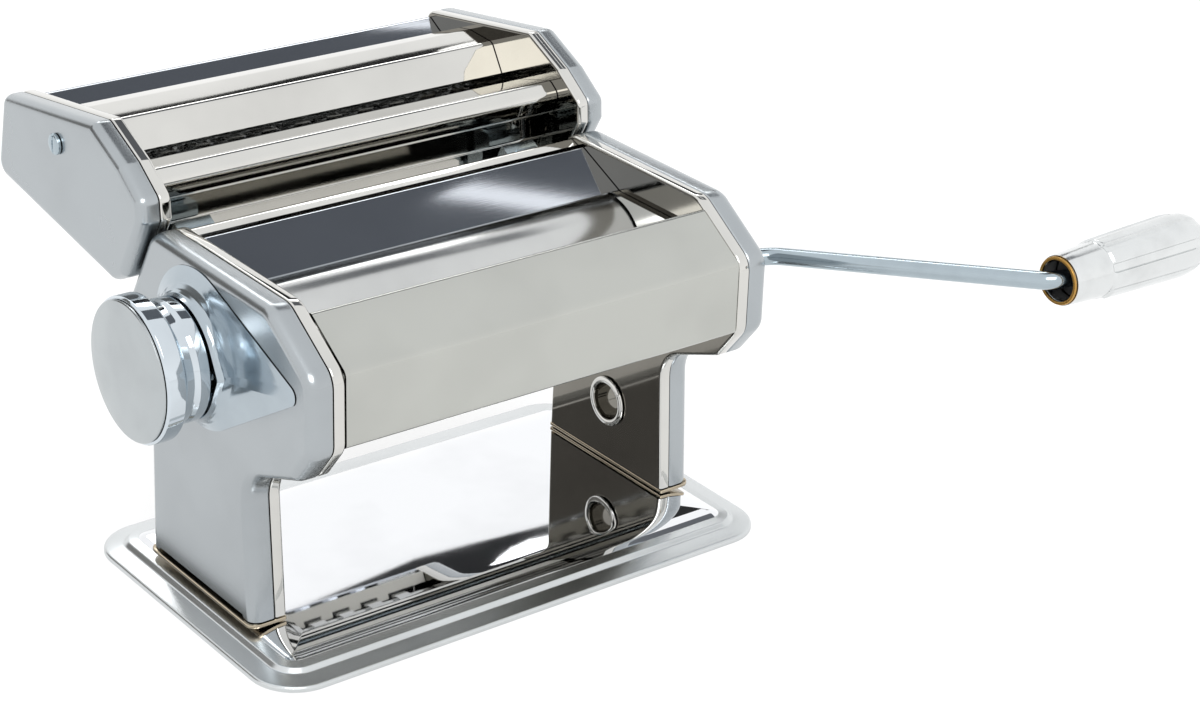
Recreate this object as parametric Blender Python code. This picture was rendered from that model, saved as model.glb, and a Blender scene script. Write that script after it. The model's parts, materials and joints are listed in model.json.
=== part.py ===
"""Hand-cranked pasta roller machine with a clip-on double cutter.

Millimetre dimensions in the machine's own frame: X runs along the rollers towards the crank,
-Y is the front, +Z is up from the bench; X = 0 is midway between the side frames and Y = 0 is
the middle of the base plate. Meshes are made in metres.
"""
import bpy
import bmesh
from math import acos, atan2, ceil, cos, hypot, pi, radians, sin, tan
from mathutils import Matrix, Vector

MM = 0.001

# --- base plate -------------------------------------------------------------------------------
BASE_HALF_WIDTH = 98.0
BASE_HALF_DEPTH = 60.0
BASE_CORNER = 16.0
BASE_HEIGHT = 6.0
BASE_SHEET = 1.2

# --- side frames: an inner plate and an outer cover, back to back --------------------------------
PLATE_INNER = 75.0          # inner face of each side plate, half the width between them
PLATE_OUTER = 79.0
COVER_RIM = 79.3
COVER_FACE = 87.5
SHEET = 1.2
LEG_BOTTOM = 8.0
LEG_FRONT = -28.0
LEG_REAR = 34.8
BODY_TOP = 119.5
BODY_FRONT = -61.2
BODY_REAR = 52.0
GAP = 0.3                   # clearance left between neighbouring pieces

# --- smooth rollers -----------------------------------------------------------------------------
ROLLER_RADIUS = 17.2
ROLLER_HALF = 73.2
ROLLER_Z = 89.4
FRONT_ROLLER_Y = -33.0
REAR_ROLLER_Y = 2.0
SHAFT_RADIUS = 4.0
SOCKET_RADIUS = 5.5
SOCKET_BORE = 3.45
GEAR_TEETH = 16
GEAR_PITCH = 17.5

# --- thickness regulator ------------------------------------------------------------------------
KNOB_RADIUS = 23.2
KNOB_BACK = -94.3
KNOB_FRONT = -111.0
BOSS_TOP = -93.3
INDEX_SHAFT_RADIUS = 5.0

# --- bench clamp hole ---------------------------------------------------------------------------
CLAMP_Y = 2.5
CLAMP_Z = 29.5
CLAMP_BORE = 6.4
CLAMP_LIP = 9.0

# --- crank --------------------------------------------------------------------------------------
ROD_RADIUS = 3.0
CRANK_BEND_X = 110.0
GRIP_START = (146.4, -131.0, 107.5)
GRIP_LENGTH = 64.0
GRIP_MOUTH = 8.2
GRIP_RIBS = 8

# --- cutter attachment --------------------------------------------------------------------------
CUTTER_INNER = 79.0
CUTTER_OUTER = 83.0
CUTTER_RIM = 83.3
CUTTER_FACE = 90.5
DISC_RADIUS = 7.7
CORE_RADIUS = 4.9
PAIR_SPACING = 14.6
WIDE_NIP = (105.0, 118.0)
NARROW_NIP = (73.5, 115.0)
WIDE_PITCH = 13.0
NARROW_PITCH = 6.5
CUTTER_GEAR_TEETH = 10
TIE_ROD = (83.0, 131.8)

# --- the sloping rear edge the attachment hangs on --------------------------------------------------
SLOPE_TOP = (30.5, BODY_TOP)
SLOPE_FOOT = (BODY_REAR, 81.0)

SATIN = ((0.62, 0.65, 0.69), 0.34)
POLISHED = ((0.74, 0.73, 0.70), 0.10)
CHROME = ((0.80, 0.81, 0.82), 0.08)
ZINC = ((0.62, 0.67, 0.72), 0.28)
STEEL = ((0.55, 0.56, 0.57), 0.30)
BRASS = ((0.56, 0.43, 0.20), 0.30)
BLACK = ((0.015, 0.015, 0.017), 0.45)

for old in list(bpy.data.objects):
    bpy.data.objects.remove(old, do_unlink=True)

root = bpy.data.objects.new("machine", None)
bpy.context.scene.collection.objects.link(root)
NODES = []


# --- outlines in the side view, pairs of (y, z) ---------------------------------------------------
def rounded(corners, closed=True):
    """Replace each corner (y, z, radius) of a path by an arc of that radius."""
    out = []
    count = len(corners)
    for k, (y, z, radius) in enumerate(corners):
        here = Vector((y, z))
        if radius <= 0 or (not closed and k in (0, count - 1)):
            out.append((y, z))
            continue
        before = (Vector(corners[k - 1][:2]) - here).normalized()
        after = (Vector(corners[(k + 1) % count][:2]) - here).normalized()
        half = acos(max(-1.0, min(1.0, before.dot(after)))) / 2
        centre = here + (before + after).normalized() * radius / sin(half)
        start = here + before * radius / tan(half) - centre
        end = here + after * radius / tan(half) - centre
        turn = pi - 2 * half
        side = 1.0 if start.x * end.y - start.y * end.x > 0 else -1.0
        steps = max(1, ceil(turn / radians(30)))
        for step in range(steps + 1):
            angle = side * turn * step / steps
            out.append((centre.x + start.x * cos(angle) - start.y * sin(angle),
                        centre.y + start.x * sin(angle) + start.y * cos(angle)))
    return out


def signed_area(outline):
    return sum(a[0] * b[1] - b[0] * a[1] for a, b in zip(outline, outline[1:] + outline[:1])) / 2


def inset(outline, distance):
    """Move a closed outline inwards by the same distance everywhere."""
    sign = 1.0 if signed_area(outline) > 0 else -1.0
    out = []
    count = len(outline)
    for k in range(count):
        here = Vector(outline[k])
        first = (here - Vector(outline[k - 1])).normalized()
        second = (Vector(outline[(k + 1) % count]) - here).normalized()
        normal = Vector((-first.y - second.y, first.x + second.x)) * sign
        normal.normalize()
        across = normal.dot(Vector((-first.y, first.x)) * sign)
        out.append(tuple(here + normal * distance / max(across, 0.3)))
    return out


def strip(path, thickness):
    """Outline of a thin sheet whose middle follows an open path."""
    left, right = [], []
    count = len(path)
    for k in range(count):
        here = Vector(path[k])
        first = (here - Vector(path[max(k - 1, 0)]))
        second = (Vector(path[min(k + 1, count - 1)]) - here)
        first = first.normalized() if first.length else second.normalized()
        second = second.normalized() if second.length else first
        normal = Vector((-first.y - second.y, first.x + second.x)).normalized()
        across = normal.dot(Vector((-first.y, first.x)))
        step = normal * thickness / 2 / max(across, 0.3)
        left.append(tuple(here + step))
        right.append(tuple(here - step))
    return left + right[::-1]


def circle(centre, radius, segments, start=0.0):
    return [(centre[0] + radius * cos(start + 2 * pi * k / segments),
             centre[1] + radius * sin(start + 2 * pi * k / segments)) for k in range(segments)]


# --- bodies ---------------------------------------------------------------------------------------
def add_piece(name, bm, look, origin=(0.0, 0.0, 0.0), metallic=1.0, smooth=35):
    bmesh.ops.recalc_face_normals(bm, faces=bm.faces)
    mesh = bpy.data.meshes.new(name)
    bm.to_mesh(mesh)
    bm.free()
    mesh.shade_smooth()
    mesh.set_sharp_from_angle(angle=radians(smooth))
    colour, roughness = look
    material = bpy.data.materials.new(name + "_finish")
    material.use_nodes = True
    shader = material.node_tree.nodes["Principled BSDF"]
    shader.inputs["Base Color"].default_value = (*colour, 1.0)
    shader.inputs["Roughness"].default_value = roughness
    shader.inputs["Metallic"].default_value = metallic
    mesh.materials.append(material)
    piece = bpy.data.objects.new(name, mesh)
    piece.location = Vector(origin) * MM
    piece.parent = root
    bpy.context.scene.collection.objects.link(piece)
    NODES.append(piece)
    return piece


def loft(rings, closed=False, bm=None):
    """Skin equal rings of (x, y, z) points; open ends are capped, a closed loft joins last to first."""
    bm = bm or bmesh.new()
    made = [[bm.verts.new(Vector(p) * MM) for p in ring] for ring in rings]
    pairs = list(zip(made, made[1:]))
    if closed:
        pairs.append((made[-1], made[0]))
    count = len(rings[0])
    for low, high in pairs:
        for k in range(count):
            bm.faces.new((low[k], low[(k + 1) % count], high[(k + 1) % count], high[k]))
    if not closed:
        bm.faces.new(made[0])
        bm.faces.new(made[-1])
    return bm


def at_x(outline, x):
    return [(x, y, z) for y, z in outline]


def slab(name, outline, x0, x1, look, **more):
    return add_piece(name, loft([at_x(outline, x0), at_x(outline, x1)]), look, **more)


def pan(name, outline, x_rim, x_face, sheet, edge, steps, look):
    """A pressed pan: flat face, edge of the given radius, and a wall running back to its open rim."""
    side = 1.0 if x_face > x_rim else -1.0
    rings = []
    for step in range(steps, -1, -1):
        angle = radians(90) * step / steps
        rings.append(at_x(inset(outline, edge * (1 - cos(angle))),
                          x_face - side * edge * (1 - sin(angle))))
    rings.append(at_x(outline, x_rim))
    inner = inset(outline, sheet)
    rings.append(at_x(inner, x_rim))
    if edge > sheet:
        rings.append(at_x(inner, x_face - side * edge))
        rings.append(at_x(inset(outline, edge), x_face - side * sheet))
    else:
        rings.append(at_x(inner, x_face - side * sheet))
    return add_piece(name, loft(rings), look)


def turned(name, profile, segments, look, axis=(0.0, 0.0), bored=False, **more):
    """A turned piece about an axis parallel to X; the profile is a list of (x, radius)."""
    rings = [at_x(circle((0.0, 0.0), radius, segments), x) for x, radius in profile]
    return add_piece(name, loft(rings, closed=bored), look, origin=(0.0, *axis), **more)


def swept(path, radius, segments, bm=None):
    """A round bar along a path of (x, y, z) points."""
    points = [Vector(p) for p in path]
    tangent = (points[1] - points[0]).normalized()
    side = tangent.orthogonal().normalized()
    rings = []
    for k, here in enumerate(points):
        ahead = points[min(k + 1, len(points) - 1)] - points[max(k - 1, 0)]
        ahead.normalize()
        side = (side - ahead * side.dot(ahead)).normalized()
        other = ahead.cross(side)
        rings.append([here + (side * cos(2 * pi * j / segments) + other * sin(2 * pi * j / segments))
                      * radius for j in range(segments)])
    return loft(rings, bm=bm)


def toothed(teeth, pitch_radius, height, offset=0.0):
    """Outline of a small gear wheel with trapezoid teeth, centred on the axis."""
    out = []
    step = 2 * pi / teeth
    for k in range(teeth):
        middle = offset + k * step
        for turn, radius in ((-0.29, -0.62), (-0.13, 0.38), (0.13, 0.38), (0.29, -0.62)):
            angle = middle + turn * step
            out.append(((pitch_radius + radius * height) * cos(angle),
                        (pitch_radius + radius * height) * sin(angle)))
    return out


def gear(name, teeth, pitch_radius, height, bore, x0, x1, axis, offset, look):
    outline = toothed(teeth, pitch_radius, height, offset)
    hole = [(bore * y / hypot(y, z), bore * z / hypot(y, z)) for y, z in outline]
    rings = [at_x(outline, x0), at_x(outline, x1), at_x(hole, x1), at_x(hole, x0)]
    return add_piece(name, loft(rings, closed=True), look, origin=(0.0, *axis))


def drill(piece, cutters):
    for tool in cutters:
        cut = piece.modifiers.new(tool.name, "BOOLEAN")
        cut.operation = "DIFFERENCE"
        cut.solver = "EXACT"
        cut.object = tool


def tool(name, outline, x0, x1):
    """A cutter that only shapes its neighbours."""
    bm = loft([at_x(outline, x0), at_x(outline, x1)])
    bmesh.ops.recalc_face_normals(bm, faces=bm.faces)
    mesh = bpy.data.meshes.new(name)
    bm.to_mesh(mesh)
    bm.free()
    cutter = bpy.data.objects.new(name, mesh)
    cutter.parent = root
    cutter.hide_render = True
    cutter.display_type = "WIRE"
    bpy.context.scene.collection.objects.link(cutter)
    return cutter


def round_tool(name, centre, radius, side, segments=20, reach=(70.0, 95.0)):
    return tool(name, circle(centre, radius, segments), side * reach[0], side * reach[1])


# --- base plate: a pressing with a stepped rim, hollow underneath --------------------------------------
base_outline = rounded([(-BASE_HALF_WIDTH, -BASE_HALF_DEPTH, BASE_CORNER),
                        (BASE_HALF_WIDTH, -BASE_HALF_DEPTH, BASE_CORNER),
                        (BASE_HALF_WIDTH, BASE_HALF_DEPTH, BASE_CORNER),
                        (-BASE_HALF_WIDTH, BASE_HALF_DEPTH, BASE_CORNER)])
BASE_PROFILE = ((14.0, 6.0), (12.6, 5.6), (11.4, 4.7), (8.0, 4.1), (6.8, 2.9), (0.9, 1.9),
                (0.0, 1.2), (0.0, 0.0), (5.2, 0.0), (7.4, 1.4), (12.0, 3.2), (14.4, 4.8))
base_rings = [[(x, y, z) for x, y in inset(base_outline, inward)] for inward, z in BASE_PROFILE]
add_piece("base_plate", loft(base_rings), CHROME)

# --- outline shared by the inner plates and outer covers: octagonal body on a narrower leg ---------------
BODY_CORNERS = [(-38.0, BODY_TOP, 3.0), (BODY_FRONT, 104.4, 3.0), (BODY_FRONT - 0.4, 80.0, 3.0),
                (-52.5, 68.4, 2.5), (-24.6, 57.6, 12.0), (LEG_FRONT, LEG_BOTTOM, 1.2),
                (LEG_REAR, LEG_BOTTOM, 1.2), (33.8, 59.5, 10.0), (45.5, 68.0, 2.5),
                (BODY_REAR, 74.5, 3.0), (*SLOPE_FOOT, 3.5), (*SLOPE_TOP, 3.0)]
body_outline = rounded(BODY_CORNERS)
relief = [(LEG_FRONT, LEG_BOTTOM, 1.0), (-22.6, LEG_BOTTOM, 0.0), (-22.0, 9.1, 0.0),
          (29.0, 9.1, 0.0), (29.6, LEG_BOTTOM, 0.0), (LEG_REAR, LEG_BOTTOM, 1.0)]
cover_outline = rounded(BODY_CORNERS[:5] + relief + BODY_CORNERS[7:])

for side, hand in ((-1.0, "left"), (1.0, "right")):
    plate = pan(hand + "_side_plate", body_outline, side * PLATE_OUTER, side * PLATE_INNER,
                SHEET, 1.0, 1, POLISHED)
    cover = pan(hand + "_side_cover", cover_outline, side * COVER_RIM, side * COVER_FACE,
                1.1, 3.0, 2, SATIN)
    reach = (70.0, 84.0)
    bush_hole = 6.8 if side < 0 else 8.5
    slot = circle((REAR_ROLLER_Y + 2.6, ROLLER_Z), 9.4, 20, -pi / 2)[:11]
    slot += circle((REAR_ROLLER_Y, ROLLER_Z), 9.4, 20, pi / 2)[:11]
    cuts = [round_tool(hand + "_bush_hole_tool", (FRONT_ROLLER_Y, ROLLER_Z), bush_hole, side, 20,
                       reach),
            tool(hand + "_carrier_slot_tool", slot, side * 70.0, side * 84.0),
            round_tool(hand + "_front_rod_hole_tool", (-54.6, 86.0), 2.6, side, 12, reach),
            round_tool(hand + "_rear_rod_hole_tool", (38.0, 84.0), 2.6, side, 12, reach)]
    if side > 0:
        clamp_cut = round_tool("clamp_hole_tool", (CLAMP_Y, CLAMP_Z), 7.8, side, 24)
        drill(cover, [clamp_cut, round_tool("crank_hole_tool", (FRONT_ROLLER_Y, ROLLER_Z), 6.4,
                                            side, 24, (84.0, 92.0))])
        cuts.append(clamp_cut)
    else:
        drill(cover, [round_tool("index_hole_tool", (REAR_ROLLER_Y, ROLLER_Z), 6.6, side, 20,
                                 (84.0, 92.0))])
    drill(plate, cuts)

    foot = rounded([(side * 75.2, LEG_FRONT - 0.3, 0.6), (side * 88.4, LEG_FRONT - 0.3, 3.5),
                    (side * 88.4, LEG_REAR + 0.3, 3.5), (side * 75.2, LEG_REAR + 0.3, 0.6)])
    add_piece(hand + "_foot_plate", loft([[(x, y, 6.3) for x, y in foot],
                                          [(x, y, 7.6) for x, y in foot]]), POLISHED)

# --- sheets that span the two side plates ------------------------------------------------------------------
WIDTH = PLATE_INNER - GAP
front_path = rounded([(-40.2, 112.6, 0.0), (-41.2, 116.5, 1.0), (-60.3, 104.1, 2.6),
                      (-60.7, 80.5, 1.4), (-56.5, 79.0, 1.0), (-50.5, 79.4, 0.0)], False)
slab("front_panel", strip(front_path, 1.0), -WIDTH, WIDTH, POLISHED)
rear_path = rounded([(25.4, 116.4, 0.0), (29.3, 117.6, 1.4), (50.4, 80.2, 3.0), (50.4, 75.0, 2.0),
                     (45.2, 69.8, 1.5), (40.5, 69.8, 0.0)], False)
slab("rear_panel", strip(rear_path, 1.0), -WIDTH, WIDTH, POLISHED)
hopper_path = rounded([(2.2, 108.0, 0.0), (22.6, 116.9, 1.0), (23.9, 112.4, 0.0)], False)
slab("hopper_rear_plate", strip(hopper_path, 0.8), -WIDTH, WIDTH, POLISHED)

# --- cheeks that keep the dough off the roller ends: a wedge lying in the valley of the two rollers ------------
valley = (FRONT_ROLLER_Y + REAR_ROLLER_Y) / 2
clear = ROLLER_RADIUS + 0.5
cheek = [(REAR_ROLLER_Y, ROLLER_Z + clear + 1.0)]
for centre_y, start, end in ((FRONT_ROLLER_Y, 90, 12), (REAR_ROLLER_Y, 168, 90)):
    arc = []
    for step in range(7):
        angle = radians(start + (end - start) * step / 6)
        arc.append((centre_y + clear * cos(angle), ROLLER_Z + clear * sin(angle)))
    if centre_y == FRONT_ROLLER_Y:
        arc.insert(0, (centre_y, ROLLER_Z + clear + 1.0))
    cheek += arc
slab("left_dough_guide", cheek, -72.2, -WIDTH, POLISHED)
slab("right_dough_guide", cheek, 72.2, WIDTH, POLISHED)

# --- smooth rollers, their gears and bearings ----------------------------------------------------------------------
front_profile = [(-82.0, 3.4), (-81.4, SHAFT_RADIUS), (-ROLLER_HALF, SHAFT_RADIUS),
                 (-ROLLER_HALF, ROLLER_RADIUS - 0.5), (-ROLLER_HALF + 0.5, ROLLER_RADIUS),
                 (ROLLER_HALF - 0.5, ROLLER_RADIUS), (ROLLER_HALF, ROLLER_RADIUS - 0.5),
                 (ROLLER_HALF, SOCKET_RADIUS), (87.4, SOCKET_RADIUS), (87.9, SOCKET_RADIUS - 0.5),
                 (87.9, SOCKET_BORE), (71.0, SOCKET_BORE)]
turned("front_roller", front_profile, 32, STEEL, (FRONT_ROLLER_Y, ROLLER_Z))
rear_profile = [(-78.9, SHAFT_RADIUS)] + front_profile[2:7]
rear_profile += [(ROLLER_HALF, SHAFT_RADIUS), (86.0, SHAFT_RADIUS)]
turned("rear_roller", rear_profile, 32, STEEL, (REAR_ROLLER_Y, ROLLER_Z))
half_tooth = pi / GEAR_TEETH
gear("front_roller_gear", GEAR_TEETH, GEAR_PITCH, 3.6, SOCKET_RADIUS + GAP, 79.6, 84.6,
     (FRONT_ROLLER_Y, ROLLER_Z), 0.0, STEEL)
gear("rear_roller_gear", GEAR_TEETH, GEAR_PITCH, 3.6, SHAFT_RADIUS + GAP, 79.6, 84.6,
     (REAR_ROLLER_Y, ROLLER_Z), half_tooth, STEEL)
turned("left_bearing_bush", [(-74.0, 4.35), (-74.0, 8.2), (-74.7, 8.2), (-74.7, 6.5),
                             (-78.2, 6.5), (-78.2, 4.35)], 20, BRASS, (FRONT_ROLLER_Y, ROLLER_Z),
       True)
turned("right_bearing_bush", [(74.0, 5.85), (74.0, 9.8), (74.7, 9.8), (74.7, 8.2), (78.2, 8.2),
                              (78.2, 5.85)], 20, BRASS, (FRONT_ROLLER_Y, ROLLER_Z), True)
for side, hand in ((-1.0, "left"), (1.0, "right")):
    turned(hand + "_roller_carrier",
           [(side * 74.0, 4.35), (side * 74.0, 11.0), (side * 74.7, 11.0), (side * 74.7, 9.0),
            (side * 78.4, 9.0), (side * 78.4, 4.35)], 20, BRASS, (REAR_ROLLER_Y, ROLLER_Z), True)

slab("front_scraper", strip([(-51.0, 74.6), (-46.0, 73.4), (-36.6, 71.3)], 0.6), -WIDTH, WIDTH,
     STEEL)
slab("rear_scraper", strip([(20.0, 74.6), (15.0, 73.4), (5.6, 71.3)], 0.6), -WIDTH, WIDTH, STEEL)
rod_profile = [(-78.2, 2.2), (-WIDTH, 2.2), (-WIDTH, 3.0), (WIDTH, 3.0), (WIDTH, 2.2), (78.2, 2.2)]
turned("front_tie_rod", rod_profile, 12, ZINC, (-54.6, 86.0))
turned("rear_tie_rod", rod_profile, 12, ZINC, (38.0, 84.0))

turned("clamp_hole_sleeve",
       [(74.7, CLAMP_LIP), (74.1, CLAMP_LIP - 0.5), (73.7, 7.6), (74.1, CLAMP_BORE + 0.3),
        (75.2, CLAMP_BORE), (87.6, CLAMP_BORE), (88.6, CLAMP_BORE + 0.4), (88.9, 7.6),
        (88.4, CLAMP_LIP - 0.4), (87.8, CLAMP_LIP), (87.8, 7.4), (74.7, 7.4)], 28, POLISHED,
       (CLAMP_Y, CLAMP_Z), True)


# --- thickness regulator on the rear roller's axis, left side --------------------------------------------------------
def teardrop(centre, radius, tip, tip_radius):
    """Outline around a large circle and a small one, joined by their common tangents."""
    reach = hypot(tip[0] - centre[0], tip[1] - centre[1])
    heading = atan2(tip[1] - centre[1], tip[0] - centre[0])
    spread = acos((radius - tip_radius) / reach)
    out = []
    for k in range(19):
        angle = heading + spread + (2 * pi - 2 * spread) * k / 18
        out.append((centre[0] + radius * cos(angle), centre[1] + radius * sin(angle)))
    for k in range(5):
        angle = heading - spread + 2 * spread * k / 4
        out.append((tip[0] + tip_radius * cos(angle), tip[1] + tip_radius * sin(angle)))
    return [(y - REAR_ROLLER_Y, z - ROLLER_Z) for y, z in out]


boss_levels = [(-87.8, teardrop((1.2, 91.4), 26.0, (-50.6, 96.6), 3.2)),
               (-88.3, teardrop((1.3, 91.0), 24.6, (-47.0, 96.2), 2.6)),
               (-89.3, teardrop((1.7, 90.2), 22.2, (-35.0, 94.0), 2.2)),
               (-90.4, teardrop((REAR_ROLLER_Y, 89.6), 20.6, (-23.5, 91.5), 2.0)),
               (-91.4, teardrop((REAR_ROLLER_Y, ROLLER_Z), 19.8, (-18.6, 90.2), 1.6)),
               (BOSS_TOP, teardrop((REAR_ROLLER_Y, ROLLER_Z), 19.4, (-17.9, 89.9), 1.4))]
boss_rings = [at_x(outline, x) for x, outline in boss_levels]
for x in (BOSS_TOP, -87.8):
    bore = [(5.6 * y / hypot(y, z), 5.6 * z / hypot(y, z)) for y, z in boss_levels[-1][1]]
    boss_rings.append(at_x(bore, x))
REGULATOR = (0.0, REAR_ROLLER_Y, ROLLER_Z)
add_piece("knob_boss", loft(boss_rings, closed=True), CHROME, origin=REGULATOR)
turned("index_shaft", [(-79.2, INDEX_SHAFT_RADIUS), (-107.7, INDEX_SHAFT_RADIUS),
                       (-108.2, INDEX_SHAFT_RADIUS - 0.5)], 20, STEEL, REGULATOR[1:])
coil = []
for k in range(51):
    angle = 2 * pi * 5 * k / 50
    coil.append((-94.4 - 12.0 * k / 50, 11.0 * cos(angle), 11.0 * sin(angle)))
add_piece("knob_spring", swept(coil, 0.8, 6), ZINC, origin=REGULATOR)
turned("index_pin", [(-93.7, 1.0), (-94.3, 1.4), (-107.1, 1.4)], 10, ZINC,
       (REAR_ROLLER_Y - 16.0, ROLLER_Z))
turned("regulator_knob",
       [(KNOB_FRONT, 5.4), (KNOB_FRONT, 22.5), (-110.3, KNOB_RADIUS), (-104.9, KNOB_RADIUS),
        (-104.0, 22.3), (-103.4, 20.4), (-102.2, 19.3), (-99.5, 19.0), (-97.9, 19.5),
        (-95.0, 19.6), (KNOB_BACK, 19.1), (KNOB_BACK, 17.8), (-107.5, 17.8), (-107.5, 8.4),
        (-94.4, 8.4), (-94.4, 5.4)], 32, CHROME, REGULATOR[1:], True)
turned("knob_end_disc", [(-111.3, 22.3), (-111.9, 22.3), (-112.4, 20.6), (-112.9, 14.0),
                         (-113.1, 6.0)], 32, SATIN, REGULATOR[1:])

# --- crank: a bent rod, pushed into the socket of the front roller ----------------------------------------------------
CRANK_AXIS = (0.0, FRONT_ROLLER_Y, ROLLER_Z)


def bent_rod(points, radii, steps):
    """Straight stretches joined by arcs, in three dimensions."""
    out = [Vector(points[0])]
    for k in range(1, len(points) - 1):
        here = Vector(points[k])
        before = (Vector(points[k - 1]) - here).normalized()
        after = (Vector(points[k + 1]) - here).normalized()
        half = before.angle(after) / 2
        centre = here + (before + after).normalized() * radii[k - 1] / sin(half)
        start = here + before * radii[k - 1] / tan(half) - centre
        axis = before.cross(after).normalized()
        for step in range(steps + 1):
            turn = Matrix.Rotation((pi - 2 * half) * step / steps, 3, -axis)
            out.append(centre + turn @ start)
    out.append(Vector(points[-1]))
    return out


grip_y = GRIP_START[1] - FRONT_ROLLER_Y
grip_z = GRIP_START[2] - ROLLER_Z
crank_path = bent_rod([(73.0, 0.0, 0.0), (CRANK_BEND_X, 0.0, 0.0),
                       (GRIP_START[0] - 0.8, grip_y, grip_z),
                       (GRIP_START[0] + GRIP_LENGTH - 8.0, grip_y, grip_z)], (12.0, 8.0), 6)
add_piece("crank_rod", swept(crank_path, ROD_RADIUS, 14), ZINC, origin=CRANK_AXIS)

GRIP_LEVELS = ((1.0, 8.2, 0.0), (4.0, 8.5, 0.0), (16.0, 9.1, 0.0), (17.5, 9.15, 0.6),
               (30.0, 9.6, 0.8), (52.0, 10.1, 0.7), (58.0, 9.6, 0.2), (62.0, 7.6, 0.0),
               (64.0, 3.5, 0.0))
GRIP_SEGMENTS = 4 * GRIP_RIBS
grip_rings = [at_x(circle((0.0, 0.0), radius, GRIP_SEGMENTS), GRIP_START[0] + along)
              for along, radius in ((59.0, 3.5), (10.5, 3.5), (10.5, 6.9), (1.0, 6.9))]
for along, radius, rib in GRIP_LEVELS:
    ring = []
    for k in range(GRIP_SEGMENTS):
        angle = 2 * pi * k / GRIP_SEGMENTS
        raised = radius + (rib if k % 4 in (1, 2) else 0.0)
        ring.append((GRIP_START[0] + along, raised * cos(angle), raised * sin(angle)))
    grip_rings.append(ring)
GRIP_AXIS = GRIP_START[1:]
add_piece("crank_grip", loft(grip_rings), CHROME, origin=(0.0, *GRIP_AXIS))
turned("grip_mouth_ring", [(GRIP_START[0], 6.8), (GRIP_START[0], 7.9), (GRIP_START[0] + 0.7, 7.9),
                           (GRIP_START[0] + 0.7, 6.8)], 28, BRASS, GRIP_AXIS, True)
turned("grip_bush", [(GRIP_START[0] + 7.0, 3.4), (GRIP_START[0] + 7.0, 6.6),
                     (GRIP_START[0] + 10.2, 6.6), (GRIP_START[0] + 10.2, 3.4)], 20, BLACK,
       GRIP_AXIS, True, metallic=0.0)

# --- rails on the sloping rear face, and the hooks of the attachment that slide over them --------------------------------
slope = (Vector(SLOPE_TOP) - Vector(SLOPE_FOOT)).normalized()
outward = Vector((slope.y, -slope.x))


def slope_bar(name, section, start, end, look):
    """A bar along the rear slope; its section is a list of (x, distance off the slope)."""
    rings = []
    for along in (start, end):
        foot = Vector(SLOPE_FOOT) + slope * along
        rings.append([(x, *(foot + outward * off)) for x, off in section])
    return add_piece(name, loft(rings), look)


for side, hand in ((-1.0, "left"), (1.0, "right")):
    middle = side * 64.0
    rail = [(middle + x, off - 0.5) for x, off in
            ((-2, 0.2), (2, 0.2), (2, 3.4), (4, 3.4), (4, 5.8), (-4, 5.8), (-4, 3.4), (-2, 3.4))]
    slope_bar(hand + "_rail", rail, 8.0, 34.0, ZINC)
    hook = [(middle + x, off) for x, off in
            ((-6.5, 0.9), (-2.8, 0.9), (-2.8, 2.3), (-4.8, 2.3), (-4.8, 6.0), (4.8, 6.0),
             (4.8, 2.3), (2.8, 2.3), (2.8, 0.9), (6.5, 0.9), (6.5, 9.6), (-6.5, 9.6))]
    slope_bar("cutter_" + hand + "_hook", hook, 16.0, 32.0, ZINC)

# --- cutter attachment: side frames ---------------------------------------------------------------------------------------
cutter_outline = rounded([(121.0, 136.8, 4.0), (60.0, 146.0, 4.0), (42.5, 137.8, 4.0),
                          (30.6, 129.5, 4.0), (30.0, 122.0, 2.0), (42.3, 99.8, 4.0),
                          (50.0, 96.0, 4.0), (127.5, 108.0, 6.0)])
WIDE_AXES = [(WIDE_NIP[0] + s * PAIR_SPACING / 2, WIDE_NIP[1]) for s in (-1, 1)]
NARROW_AXES = [(NARROW_NIP[0] + s * PAIR_SPACING / 2, NARROW_NIP[1]) for s in (-1, 1)]
for side, hand in ((-1.0, "left"), (1.0, "right")):
    plate = pan("cutter_" + hand + "_plate", cutter_outline, side * CUTTER_OUTER,
                side * CUTTER_INNER, SHEET, 1.0, 1, POLISHED)
    cover = pan("cutter_" + hand + "_cover", cutter_outline, side * CUTTER_RIM,
                side * CUTTER_FACE, 1.1, 2.6, 2, SATIN)
    reach = (74.0, 86.0)
    cuts = []
    for number, axis in enumerate(WIDE_AXES + NARROW_AXES):
        driven = number % 2 == 0
        radius = 5.2 if driven and side > 0 else 4.0
        cuts.append(round_tool("%s_cutter_bearing_tool_%d" % (hand, number + 1), axis, radius,
                               side, 16, reach))
    cuts.append(round_tool(hand + "_cutter_rod_tool", TIE_ROD, 2.3, side, 12, reach))
    drill(plate, cuts)
    holes = [round_tool(hand + "_cover_screw_tool", TIE_ROD, 2.0, side, 12, (86.0, 95.0))]
    if side > 0:
        for number, axis in enumerate((WIDE_AXES[0], NARROW_AXES[0])):
            holes.append(round_tool("cutter_socket_tool_%d" % (number + 1), axis, 5.6, side, 20,
                                    (86.0, 95.0)))
    drill(cover, holes)
    turned(hand + "_cutter_screw", [(side * 83.4, 1.6), (side * 90.8, 1.6), (side * 90.8, 3.5),
                                    (side * 91.6, 3.4), (side * 92.2, 2.2)], 12, ZINC, TIE_ROD)
turned("cutter_tie_rod", [(-82.9, 1.9), (-78.7, 1.9), (-78.7, 2.4), (78.7, 2.4), (78.7, 1.9),
                          (82.9, 1.9)], 12, ZINC, TIE_ROD)

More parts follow.
